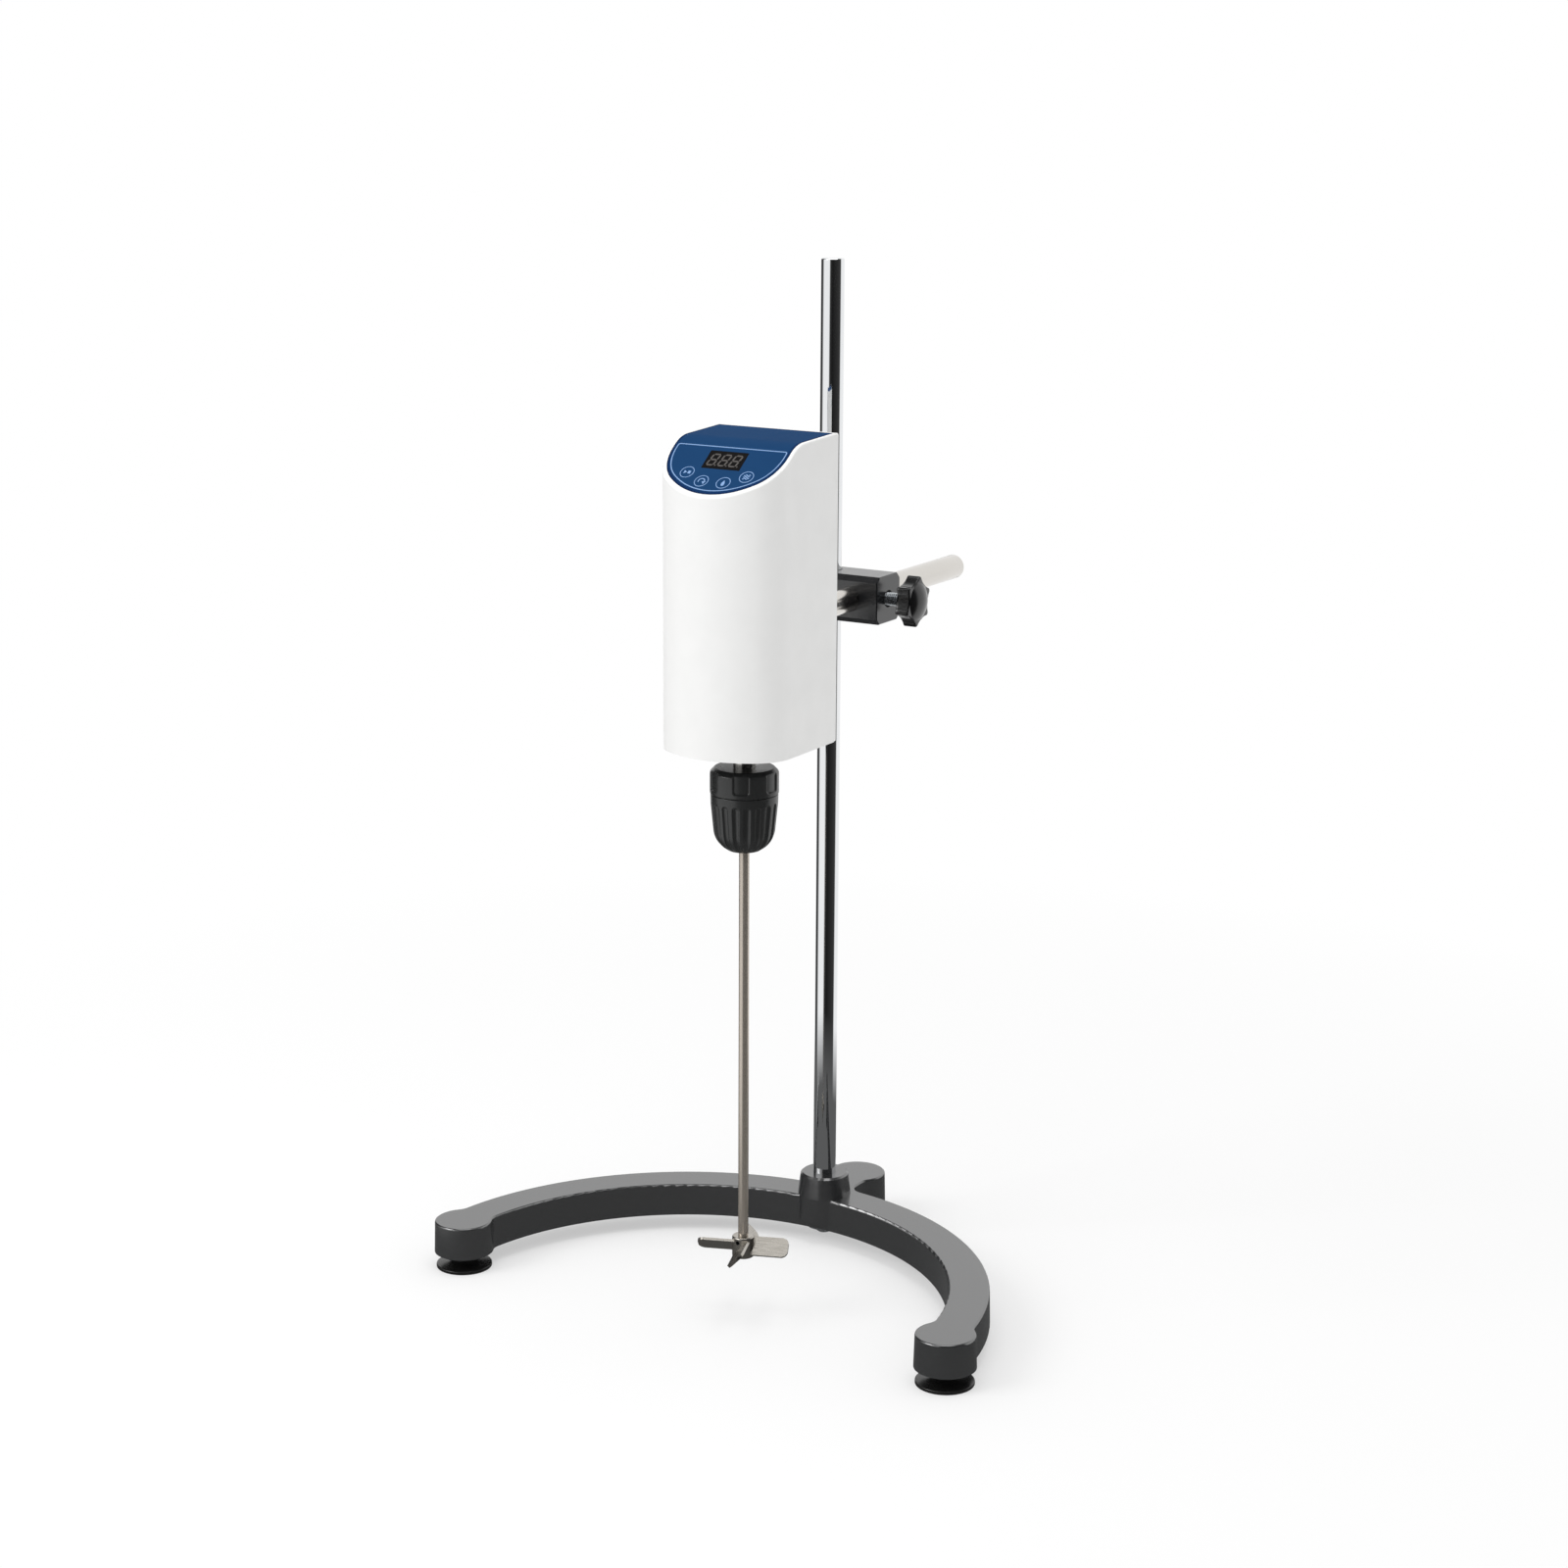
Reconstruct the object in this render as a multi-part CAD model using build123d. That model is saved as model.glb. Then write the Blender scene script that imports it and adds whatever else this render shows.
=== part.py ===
from build123d import *
from math import atan2, cos, degrees, hypot, pi, radians, sin, sqrt, tan
import os

# Laboratory overhead stirrer on a horseshoe stand, in millimetres.
# +Z is up, -Y is the front with the control panel, and the origin lies on the bench.

# General clearances
slip_gap = 0.05        # radial clearance of a shaft that turns or slides in its bore
part_gap = 0.3         # clearance between pieces that move past each other
seam_gap = 0.1         # seam between fixed pieces

# Stand
foot_height = 10.0
foot_radius = 17.0
foot_lip = 2.0
foot_neck_radius = 6.5
foot_top_radius = 15.8
foot_top_rim = 1.2
foot_stud_radius = 2.5
foot_stud_length = 16.0
casting_height = 20.0
casting_draft = 1.5
casting_edge = 1.2
arc_radius = 167.0
arc_width = 25.0
pad_radius = 18.0
pad_setback = 12.0
pad_blend = 9.0
rear_pad_reach = 43.0
boss_radius = 15.0
boss_rise = 14.0
boss_web = 4.0

# Column
column_y = 28.0
column_diameter = 14.0
column_length = 597.0
column_chamfer = 1.0
column_bolt_radius = 3.97
column_bolt_depth = 18.0
column_bolt_head_radius = 7.0
column_bolt_head_height = 4.2
column_washer_radius = 11.0
column_washer_thickness = 1.6

# Cross clamp
clamp_size = 28.5
clamp_bevel = 3.2
bore_chamfer = 0.8
clamp_overhang = 12.0
arm_offset = 20.5
stud_radius = 3.97
stud_pitch = 1.25
stud_mouth_radius = 5.2
stud_mouth_depth = 1.8
knob_standoff = 12.0
knob_thickness = 8.5
knob_tip_radius = 16.2
knob_root_radius = 12.0
knob_tip_round = 2.4
knob_dome_radius = 11.2
knob_dome_rise = 3.4
knob_lobes = 6
knob_angle = -8.0
knob_bore_depth = 6.0
stud_tip_radius = 3.0
stud_tip_length = 3.0

# Support arm
arm_diameter = 15.0
arm_rear_reach = 122.0
arm_spigot_radius = 6.0
arm_nut_thickness = 6.0
arm_nut_flats = 18.0
arm_collar_radius = 14.0
arm_collar_thickness = 5.0

# Head housing
head_standoff = 98.0
head_width = 79.0
head_depth = 80.0
head_height = 176.0
arm_rise = 65.5          # arm above the head's bottom
corner_radius = 24.0
front_radius = 52.0
wall = 2.5
panel_front_height = 146.5
panel_run = 39.15
top_fall = 2.5           # degrees, from the back edge down to the fold
fold_radius = 24.0
rim_width = 2.3
rim_round = 0.9
film_thickness = 0.5
cover_thickness = 2.0
cover_corner = 1.2
bottom_thickness = 3.0
screw_radius = 1.5
screw_head_radius = 2.9
screw_head_height = 1.8
screw_slot_width = 0.7
screw_slot_reach = 1.6
screw_slot_depth = 0.8
corner_post_radius = 3.8
corner_post_length = 14.0
post_inset = 5.8
vent_count = 6
vent_pitch = 5.0
vent_length = 30.0
vent_height = 2.2
vent_rise = 100.0
bottom_screw_spread = 20.0
bottom_screw_rear_gap = 12.0
bottom_screw_front_gap = 14.0

# Display under the panel
window_width = 24.5
window_height = 14.0
window_place = 0.3978     # share of the panel's length, down from the fold
lens_thickness = 1.2
module_width = 22.6
module_height = 13.2
module_depth = 6.0
board_thickness = 1.6
display_board_width = 48.0
board_edge_gap = 1.0
digit_width = 5.6
digit_height = 9.6
sensor_places = (0.6242, 0.7426, 0.7426, 0.6242)
sensor_offsets = (-19.0, -7.0, 7.0, 19.0)
sensor_radius = 4.3

# Inlet and switch on the back
service_rise = 27.0
service_offset = 25.0
switch_width = 13.0
switch_height = 19.5
switch_depth = 15.0
switch_flange = 1.5
rocker_tilt = 10.0
rocker_lift = 2.1
inlet_radius = 5.5
inlet_flange_radius = 7.5
inlet_flange_height = 2.0
inlet_depth = 12.0
inlet_socket_radius = 3.2
inlet_socket_depth = 10.0
inlet_pin_radius = 1.05
inlet_nut_flats = 15.0
inlet_nut_thickness = 2.5

# Drive train
stir_setback = 35.0
frame_thickness = 4.0
frame_half_width = 27.0
frame_neck_half_width = 14.0
frame_foot_half_width = 33.0
frame_head_rise = 16.0
frame_front_gap = 8.0
frame_screw_inset = 6.0
motor_shelf_rise = 81.0
motor_radius = 25.0
motor_length = 50.0
motor_wall = 2.0
motor_end_thickness = 3.0
motor_screw_inset = 7.0
stator_end_gap = 9.0
rotor_end_gap = 10.0
motor_bearing_radius = 8.0
motor_bearing_width = 4.0
rotor_radius = 13.0
motor_shaft_radius = 3.0
housing_flange_radius = 24.0
housing_flange_thickness = 5.0
housing_radius = 18.0
housing_height = 37.0
bearing_outer_radius = 14.0
bearing_width = 8.0
spindle_radius = 6.0
spindle_collar_radius = 6.5
coupling_radius = 11.0
coupling_hub_length = 11.0
coupling_jaw_height = 6.0
housing_screw_inset = 3.2
board_half_width = 29.0
board_gap = 2.0
board_top_gap = 3.0
part_row_rise = 8.0
part_row_spread = 22.0
capacitor_radius = 4.0
capacitor_length = 11.0
coil_radius = 5.0
coil_length = 6.0
chip_size = 10.0
chip_thickness = 1.6
relay_rise = 16.0
relay_length = 28.0
relay_height = 9.0
relay_thickness = 9.0
board_post_spread = 20.0
board_post_height = 4.0
board_post_radius = 2.5

# Chuck
spindle_reach = 12.5      # head's bottom above the chuck's top
chuck_radius = 19.7
rear_sleeve_height = 15.0
sleeve_bevel = 2.6
sleeve_groove = 0.8
front_sleeve_height = 33.2
recess_count = 6
recess_angle = 30.0
recess_depth = 0.9
recess_start = 55.5
flute_count = 18
flute_radius = 2.6
flute_depth = 1.1
flute_start = 5.5
flute_top_gap = 6.5
chuck_body_radius = 12.2
jaw_radius = 2.8
jaw_tilt = 15.0
jaw_length = 24.0
jaw_travel = 7.2
jaw_nut_rise = 16.0
jaw_nut_height = 6.0
sleeve_cavity_radius = 16.2
spindle_nose_radius = 5.0
spindle_nose_length = 12.0

# Stirring shaft and impeller
shaft_diameter = 6.0
shaft_length = 300.0
shaft_bottom = 38.0
shaft_grip = 3.5          # shaft's end above the chuck's top
impeller_hub_radius = 6.5
impeller_hub_height = 13.0
impeller_radius = 27.0
blade_thickness = 1.6
blade_width = 12.0
blade_pitch_angle = 45.0
blade_count = 4

# Places that follow from the sizes above
shaft_top = shaft_bottom + shaft_length
chuck_top = shaft_top - shaft_grip
head_bottom = chuck_top + spindle_reach
clamp_z = head_bottom + arm_rise
motor_shelf_z = head_bottom + motor_shelf_rise
vent_z = head_bottom + vent_rise
service_z = head_bottom + service_rise
casting_bottom = foot_height
casting_top = casting_bottom + casting_height
arc_centre_y = column_y - arc_radius
front_pad_y = arc_centre_y + pad_setback
front_pad_x = sqrt(arc_radius**2 - pad_setback**2)
rear_pad_y = column_y + rear_pad_reach
column_radius = column_diameter / 2
column_bottom = casting_bottom + boss_web
column_top = column_bottom + column_length
arm_radius = arm_diameter / 2
arm_x = arm_offset
arm_rear_y = column_y + arm_rear_reach
clamp_left_x = -column_radius - clamp_overhang
clamp_right_x = arm_x + arm_radius + clamp_overhang
back_y = column_y - head_standoff
shell_back_y = back_y - cover_thickness
front_y = back_y - head_depth
head_x = arm_x
head_top = head_bottom + head_height
panel_front_z = head_bottom + panel_front_height
panel_drop = head_height - panel_front_height
panel_slope = degrees(atan2(panel_drop, panel_run))
panel_length = hypot(panel_drop, panel_run)
fold_y = front_y + panel_run
window_drop = window_place * panel_length
sensor_drops = [place * panel_length for place in sensor_places]
stir_x = head_x
stir_y = back_y - stir_setback
plate_top = head_bottom + bottom_thickness
shelf_top = plate_top + frame_thickness
motor_base = motor_shelf_z
sleeve_split = chuck_top - rear_sleeve_height
front_sleeve_top = sleeve_split - part_gap
chuck_nose = front_sleeve_top - front_sleeve_height
shaft_radius = shaft_diameter / 2
front_feet = ((-front_pad_x, front_pad_y), (front_pad_x, front_pad_y))
rear_foot_place = (0.0, rear_pad_y)
all_feet = front_feet + (rear_foot_place,)


def bar(radius, start, end):
    """Round bar of the given radius from one point to another."""
    run = Vector(*end) - Vector(*start)
    return Solid.make_cylinder(radius, run.length, Plane(origin=start, z_dir=run))


def ring(outer, inner, start, end):
    """Round tube from one point to another."""
    return bar(outer, start, end) - bar(inner, start, end)


def block(low, high):
    """Rectangular block between two opposite corners."""
    size = [b - a for a, b in zip(low, high)]
    middle = [(a + b) / 2 for a, b in zip(low, high)]
    return Pos(*middle) * Box(*size)


def turned(points, x=0.0, y=0.0):
    """Solid of revolution about the vertical line at (x, y); points are (radius, height)."""
    profile = Plane.XZ * make_face(Polyline(*points, close=True))
    return Pos(x, y, 0) * revolve(profile, Axis.Z)


def stir_bar(radius, low, high):
    """Round bar on the stirring axis between two heights."""
    return bar(radius, (stir_x, stir_y, low), (stir_x, stir_y, high))


def stir_ring(outer, inner, low, high):
    """Tube on the stirring axis between two heights."""
    return stir_bar(outer, low, high) - stir_bar(inner, low, high)


def stir_places(radius, count, start_angle=0.0):
    """Points spread evenly round the stirring axis."""
    angles = [radians(start_angle + 360 * i / count) for i in range(count)]
    return [(stir_x + radius * cos(a), stir_y + radius * sin(a)) for a in angles]


def group(solids):
    """Separate like solids kept together as one piece."""
    return Compound(children=[s.solid() if hasattr(s, "solid") else s for s in solids])


# Stand pieces

def casting_outline():
    """Plan of the casting: arc, pads and rear leg, with blended corners."""
    half = arc_width / 2
    arc = Circle(arc_radius + half) - Circle(arc_radius - half)
    plan = Pos(0, arc_centre_y) * arc
    reach = 2 * (arc_radius + arc_width)
    front_cut = Pos(0, front_pad_y - reach / 2) * Rectangle(reach, reach)
    plan -= front_cut
    plan += Pos(0, (column_y + rear_pad_y) / 2) * Rectangle(arc_width, rear_pad_reach)
    for place in all_feet:
        plan += Pos(*place) * Circle(pad_radius)
    corners = []
    for corner in plan.vertices():
        for x, y in all_feet:
            if abs(hypot(corner.X - x, corner.Y - y) - pad_radius) < 0.01:
                corners.append(corner)
        if abs(abs(corner.X) - half) < 0.01 and corner.Y < column_y + arc_width:
            corners.append(corner)
    return fillet(corners, pad_blend)


def base_casting():
    """Horseshoe casting with three pads, a column boss and a web under the column."""
    body = Pos(0, 0, casting_bottom) * extrude(casting_outline(), casting_height, taper=casting_draft)
    top_edges = [e for e in body.edges() if e.center().Z > casting_top - 0.01]
    body = fillet(top_edges, casting_edge)
    boss_top = casting_top + boss_rise
    boss = turned([(0, casting_bottom + boss_web), (boss_radius + 1.5, casting_bottom + boss_web),
                   (boss_radius + 1.5, casting_top), (boss_radius, boss_top - 1.2),
                   (boss_radius - 1.2, boss_top), (0, boss_top)], 0, column_y)
    body += boss
    body -= bar(column_radius + slip_gap, (0, column_y, column_bottom), (0, column_y, boss_top + 1))
    body -= bar(column_bolt_radius + 0.3, (0, column_y, casting_bottom - 1), (0, column_y, column_bottom + 1))
    for x, y in all_feet:
        stud_top = casting_bottom + foot_stud_length - foot_height / 2
        body -= bar(foot_stud_radius, (x, y, casting_bottom - 1), (x, y, stud_top))
    return body


def foot(place):
    """Rubber foot shaped like a spool: wide disc, hollow neck and a flat rim under the casting."""
    neck = (foot_neck_radius, foot_height * 0.54)
    disc = (foot_radius - 0.4, foot_lip)
    rim = (foot_top_radius - 0.3, foot_height - foot_top_rim)
    profile = make_face([
        Line((0, 0), (foot_radius - 0.4, 0)),
        Line((foot_radius - 0.4, 0), (foot_radius, 0.4)),
        Line((foot_radius, 0.4), (foot_radius, foot_lip - 0.3)),
        Line((foot_radius, foot_lip - 0.3), disc),
        ThreePointArc(disc, (foot_neck_radius + 2.4, foot_lip + 1.3), neck),
        ThreePointArc(neck, (foot_neck_radius + 2.4, foot_height - foot_top_rim - 1.3), rim),
        Line(rim, (foot_top_radius, foot_height - foot_top_rim + 0.3)),
        Line((foot_top_radius, foot_height - foot_top_rim + 0.3), (foot_top_radius, foot_height)),
        Line((foot_top_radius, foot_height), (0, foot_height)),
        Line((0, foot_height), (0, 0)),
    ])
    solid = Pos(*place, 0) * revolve(Plane.XZ * profile, Axis.Z)
    return solid - bar(foot_stud_radius, (*place, foot_height / 2), (*place, foot_height + 1))


def foot_studs():
    """Threaded studs between the feet and the casting."""
    low = foot_height / 2
    return group([bar(foot_stud_radius, (x, y, low), (x, y, low + foot_stud_length)) for x, y in all_feet])


def column():
    """Round column with chamfered ends and a tapped hole in its foot."""
    solid = bar(column_radius, (0, column_y, column_bottom), (0, column_y, column_top))
    solid = chamfer(solid.edges().filter_by(GeomType.CIRCLE), column_chamfer)
    hole_top = column_bottom + column_bolt_depth + 2
    return solid - bar(column_bolt_radius + slip_gap, (0, column_y, column_bottom - 1), (0, column_y, hole_top))


def column_washer():
    """Flat washer under the casting."""
    low = casting_bottom - column_washer_thickness
    return ring(column_washer_radius, column_bolt_radius + 0.3, (0, column_y, low), (0, column_y, casting_bottom))


def column_bolt():
    """Button-head screw with a hexagon socket."""
    head_top = casting_bottom - column_washer_thickness
    head_low = head_top - column_bolt_head_height
    head = turned([(0, head_low), (column_bolt_head_radius * 0.55, head_low),
                   (column_bolt_head_radius * 0.88, head_low + column_bolt_head_height * 0.45),
                   (column_bolt_head_radius, head_top), (0, head_top)], 0, column_y)
    shank = bar(column_bolt_radius, (0, column_y, head_top - 0.5), (0, column_y, column_bottom + column_bolt_depth))
    socket = Pos(0, column_y, head_low) * extrude(RegularPolygon(2.9, 6), column_bolt_head_height * 0.6)
    return head + shank - socket


# Cross clamp pieces

def clamp_block():
    """Bevelled block with a column bore, an arm bore and a tapped hole in each end."""
    half = clamp_size / 2
    solid = block((clamp_left_x, column_y - half, clamp_z - half), (clamp_right_x, column_y + half, clamp_z + half))
    solid = chamfer(solid.edges().filter_by(Axis.X), clamp_bevel)
    solid = chamfer(solid.edges().filter_by(lambda e: abs(e.tangent_at(0.5).X) < 0.5), 0.6)
    solid -= bar(column_radius + slip_gap, (0, column_y, clamp_z - clamp_size), (0, column_y, clamp_z + clamp_size))
    arm_bore = arm_radius + slip_gap
    solid -= bar(arm_bore, (arm_x, column_y - clamp_size, clamp_z), (arm_x, column_y + clamp_size, clamp_z))
    mouths = [e for e in solid.edges().filter_by(GeomType.CIRCLE)
              if abs(hypot(e.center().Y - column_y, e.center().Z - clamp_z) - half) < 0.01]
    solid = chamfer(mouths, bore_chamfer)
    for end, middle, sign in ((clamp_left_x, 0.0, -1), (clamp_right_x, arm_x, 1)):
        solid -= bar(stud_radius + slip_gap, (middle, column_y, clamp_z), (end + sign, column_y, clamp_z))
        mouth = end - sign * stud_mouth_depth
        solid -= bar(stud_mouth_radius, (mouth, column_y, clamp_z), (end + sign, column_y, clamp_z))
    return solid


def knob_outline():
    """Star outline with rounded tips and hollow flanks."""
    step = 2 * pi / knob_lobes
    tips = [(knob_tip_radius * cos(i * step), knob_tip_radius * sin(i * step)) for i in range(knob_lobes)]
    roots = [(knob_root_radius * cos((i + 0.5) * step), knob_root_radius * sin((i + 0.5) * step))
             for i in range(knob_lobes)]
    arcs = [ThreePointArc(tips[i], roots[i], tips[(i + 1) % knob_lobes]) for i in range(knob_lobes)]
    star = make_face(arcs)
    return fillet(star.vertices(), knob_tip_round)


def star_knob(face_x, sign):
    """Star knob on the X axis line of the clamp; sign gives the side that it faces."""
    solid = extrude(knob_outline(), knob_thickness)
    solid = chamfer(solid.edges().filter_by(lambda e: e.center().Z > knob_thickness - 0.01), 0.7)
    base = knob_thickness - 1
    ball = (knob_dome_radius**2 + knob_dome_rise**2) / (2 * knob_dome_rise)
    ball_z = knob_thickness + knob_dome_rise - ball
    half_way = atan2(knob_dome_radius, knob_thickness - ball_z) / 2
    dome = make_face([
        Line((0, base), (knob_dome_radius, base)),
        Line((knob_dome_radius, base), (knob_dome_radius, knob_thickness)),
        ThreePointArc((knob_dome_radius, knob_thickness),
                      (ball * sin(half_way), ball_z + ball * cos(half_way)), (0, ball_z + ball)),
        Line((0, ball_z + ball), (0, base)),
    ])
    solid += revolve(Plane.XZ * dome, Axis.Z)
    solid -= bar(stud_radius + slip_gap, (0, 0, -1), (0, 0, knob_bore_depth))
    turn = 90 * sign
    return Pos(face_x, column_y, clamp_z) * Rot(0, turn, 0) * Rot(0, 0, knob_angle) * solid


def knob_stud(seat_x, knob_back_x, sign):
    """Threaded stud with a reduced tip that bears on the bar."""
    tip_x = seat_x + sign * part_gap
    shoulder_x = tip_x + sign * stud_tip_length
    end_x = knob_back_x + sign * (knob_bore_depth - part_gap)
    solid = bar(stud_radius, (shoulder_x, column_y, clamp_z), (end_x, column_y, clamp_z))
    solid = chamfer(solid.edges().filter_by(GeomType.CIRCLE), 0.5)
    return solid + bar(stud_tip_radius, (tip_x, column_y, clamp_z), (shoulder_x + sign, column_y, clamp_z))


# Support arm pieces

def support_arm():
    """Round arm with a threaded spigot that passes the head's frame."""
    shoulder_y = back_y - cover_thickness + part_gap
    solid = bar(arm_radius, (arm_x, shoulder_y, clamp_z), (arm_x, arm_rear_y, clamp_z))
    solid = chamfer(solid.edges().filter_by(GeomType.CIRCLE).group_by(Axis.Y)[-1], 0.8)
    spigot_end = arm_spigot_end()
    return solid + bar(arm_spigot_radius, (arm_x, shoulder_y + 0.5, clamp_z), (arm_x, spigot_end, clamp_z))


def arm_spigot_end():
    """Front end of the arm's spigot, past its nut."""
    return shell_back_y - frame_thickness - part_gap - arm_nut_thickness - 1.0


def arm_nut():
    """Hexagon nut on the arm's spigot, inside the head."""
    start = shell_back_y - frame_thickness - part_gap
    hexagon = extrude(RegularPolygon(arm_nut_flats / 2, 6, major_radius=False), arm_nut_thickness)
    hexagon -= Cylinder(arm_spigot_radius, arm_nut_thickness * 3)
    return Pos(arm_x, start, clamp_z) * Rot(90, 0, 0) * hexagon


def arm_collar():
    """Collar that closes the back of the head round the arm."""
    bore = arm_radius + slip_gap
    outer_y = back_y + arm_collar_thickness
    solid = ring(arm_collar_radius, bore, (arm_x, back_y, clamp_z), (arm_x, outer_y, clamp_z))
    rim = [e for e in solid.edges().filter_by(GeomType.CIRCLE)
           if abs(e.center().Y - outer_y) < 0.01 and e.radius > bore + 0.5]
    return chamfer(rim, 1.0)


# Head housing pieces

def head_outline(inset, rear):
    """Plan of the head: straight sides, round corners and a bowed front, all moved in by inset."""
    half = head_width / 2 - inset
    corner = corner_radius - inset
    bow = front_radius - inset
    front = front_y + inset
    corner_x = half - corner
    bow_y = front + bow
    corner_y = bow_y - sqrt((bow - corner)**2 - corner_x**2)
    meet = atan2(corner_y - bow_y, corner_x)
    half_way = meet / 2
    side_point = (half, corner_y)
    mid_point = (corner_x + corner * cos(half_way), corner_y + corner * sin(half_way))
    meet_point = (bow * cos(meet), bow_y + bow * sin(meet))

    def left(point):
        return (-point[0], point[1])

    outline = make_face([
        Line((-half, rear), (half, rear)),
        Line((half, rear), side_point),
        ThreePointArc(side_point, mid_point, meet_point),
        ThreePointArc(meet_point, (0, front), left(meet_point)),
        ThreePointArc(left(meet_point), left(mid_point), left(side_point)),
        Line(left(side_point), (-half, rear)),
    ])
    return Pos(head_x, 0, 0) * outline


def head_prism(inset, rear, low, high):
    """Upright prism on the head's plan between two heights."""
    return Pos(0, 0, low) * extrude(head_outline(inset, rear), high - low)


def under_top(drop):
    """Everything below the head's top surfaces, lowered at right angles by drop."""
    slope = radians(panel_slope)
    fall = radians(top_fall)
    edge_z = head_top - drop / cos(fall)
    panel_z = head_top - drop / cos(slope)
    fold = (panel_z - edge_z - fold_y * tan(slope) + shell_back_y * tan(fall)) / (tan(fall) - tan(slope))
    fold_z = panel_z - (fold_y - fold) * tan(slope)
    far_y = front_y - 20
    far_z = panel_z - (fold_y - far_y) * tan(slope)
    rear = back_y + 20
    rear_z = edge_z + (rear - shell_back_y) * tan(fall)
    low = head_bottom - 20
    outline = Polyline((rear, low), (far_y, low), (far_y, far_z), (fold, fold_z), (rear, rear_z), close=True)
    profile = make_face(outline)
    corner = [v for v in profile.vertices() if abs(v.X - fold) < 0.01 and abs(v.Y - fold_z) < 0.01]
    profile = fillet(corner, fold_radius - drop)
    return Pos(head_x, 0, 0) * extrude(Plane.YZ * profile, head_width, both=True)


def panel_place(across, down, lift=0.0):
    """Location on the sloped panel: across from its middle, down the slope from the fold."""
    origin = (head_x, fold_y, head_top)
    slope = radians(panel_slope)
    plane = Plane(origin=origin, x_dir=(1, 0, 0), z_dir=(0, -sin(slope), cos(slope)))
    return plane.location * Pos(across, -down, lift)


def panel_block(across, down, width, height, low, high):
    """Block lying along the sloped panel, between two depths measured from its surface."""
    solid = Box(width, height, high - low)
    return panel_place(across, down, (low + high) / 2) * solid


def cover_points():
    """Places of the rear cover's corner screws."""
    dx = head_width / 2 - post_inset
    low = plate_top + post_inset
    high = head_top - post_inset - wall
    return [(head_x + sx * dx, z) for sx in (-1, 1) for z in (low, high)]


def front_shell():
    """Housing open at the back and at the bottom, with a film recess and a window."""
    outer = head_prism(0, shell_back_y, head_bottom, head_top) & under_top(0)
    outer = fillet(top_rim_edges(outer), rim_round)
    cavity = head_prism(wall, shell_back_y + 1, head_bottom - 1, head_top) & under_top(wall + film_thickness)
    recess = head_prism(rim_width, shell_back_y + 1, head_bottom, head_top + 1) - under_top(film_thickness)
    solid = outer - cavity - recess
    for x, z in cover_points():
        start = (x, shell_back_y, z)
        solid += bar(corner_post_radius, start, (x, shell_back_y - corner_post_length, z)) & outer
        solid -= bar(screw_radius, (x, shell_back_y + 1, z), (x, shell_back_y - corner_post_length + 2, z))
    solid -= panel_block(0, window_drop, window_width, window_height, -2 * wall - 2, 2)
    return solid


def top_rim_edges(solid):
    """Edges where the top surfaces meet the upright wall, apart from the back."""
    picked = []
    for edge in solid.edges():
        middle = edge.position_at(0.5)
        on_top = middle.Z > panel_front_z - 0.5
        upright = abs(edge.tangent_at(0.5).Z) > 0.99
        across = abs(edge.tangent_at(0.5).X) > 0.99 and middle.Y > front_y + 1
        if on_top and not upright and not across:
            picked.append(edge)
    return picked


def control_overlay():
    """Thin film over the top strip, the fold and the sloped panel, with a window."""
    plan = head_prism(rim_width + seam_gap, shell_back_y, head_bottom, head_top + 1)
    film = (plan & under_top(0)) - under_top(film_thickness)
    return film - panel_block(0, window_drop, window_width, window_height, -2 * wall, 2)


def display_window():
    """Smoked lens set in the window."""
    gap = 2 * seam_gap
    return panel_block(0, window_drop, window_width - gap, window_height - gap, -lens_thickness, 0)


def display_module():
    """Housing of the three-digit display."""
    top = -lens_thickness - part_gap
    solid = panel_block(0, window_drop, module_width, module_height, top - module_depth, top)
    for dx in (-1, 0, 1):
        solid -= panel_block(dx * module_width / 3.2, window_drop, digit_width, digit_height, top - 0.5, top + 1)
    return solid


def display_digits():
    """Three figure blocks in the display."""
    top = -lens_thickness - part_gap
    return group([panel_block(dx * module_width / 3.2, window_drop, digit_width, digit_height, top - 0.5, top - 0.1)
                  for dx in (-1, 0, 1)])


def display_board():
    """Circuit board parallel to the panel, under the display and the touch sensors."""
    top = -lens_thickness - part_gap - module_depth
    upper = window_drop - window_height / 2
    lower = sensor_drops[1] + sensor_radius + 1
    board = panel_block(0, (upper + lower) / 2, display_board_width, lower - upper, top - board_thickness, top)
    return board & head_prism(wall + board_edge_gap, shell_back_y, head_bottom, head_top)


def touch_sensors():
    """Sensor pads that stand on the board and bear on the inside of the panel."""
    low = -lens_thickness - part_gap - module_depth
    high = -film_thickness - wall
    pads = []
    for across, down in zip(sensor_offsets, sensor_drops):
        pad = Pos(0, 0, low) * Cylinder(sensor_radius, high - low, align=(Align.CENTER, Align.CENTER, Align.MIN))
        pads.append(panel_place(across, down) * pad)
    return group(pads)


def rear_cover():
    """Flat back plate with holes for the arm, the switch, the inlet and cooling slots."""
    low = (head_x - head_width / 2, shell_back_y, head_bottom)
    high = (head_x + head_width / 2, back_y, head_top)
    solid = block(low, high)
    solid = fillet(solid.edges().filter_by(Axis.Y), cover_corner)
    solid -= bar(arm_radius + slip_gap, (arm_x, shell_back_y - 1, clamp_z), (arm_x, back_y + 1, clamp_z))
    solid -= switch_hole()
    solid -= inlet_hole()
    for x, z in cover_points() + frame_points():
        solid -= bar(screw_radius + 0.2, (x, shell_back_y - 1, z), (x, back_y + 1, z))
    for i in range(vent_count):
        z = vent_z + i * vent_pitch
        slot = extrude(SlotOverall(vent_length, vent_height), 4 * cover_thickness, both=True)
        solid -= Pos(head_x, back_y, z) * Rot(90, 0, 0) * slot
    return solid


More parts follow.
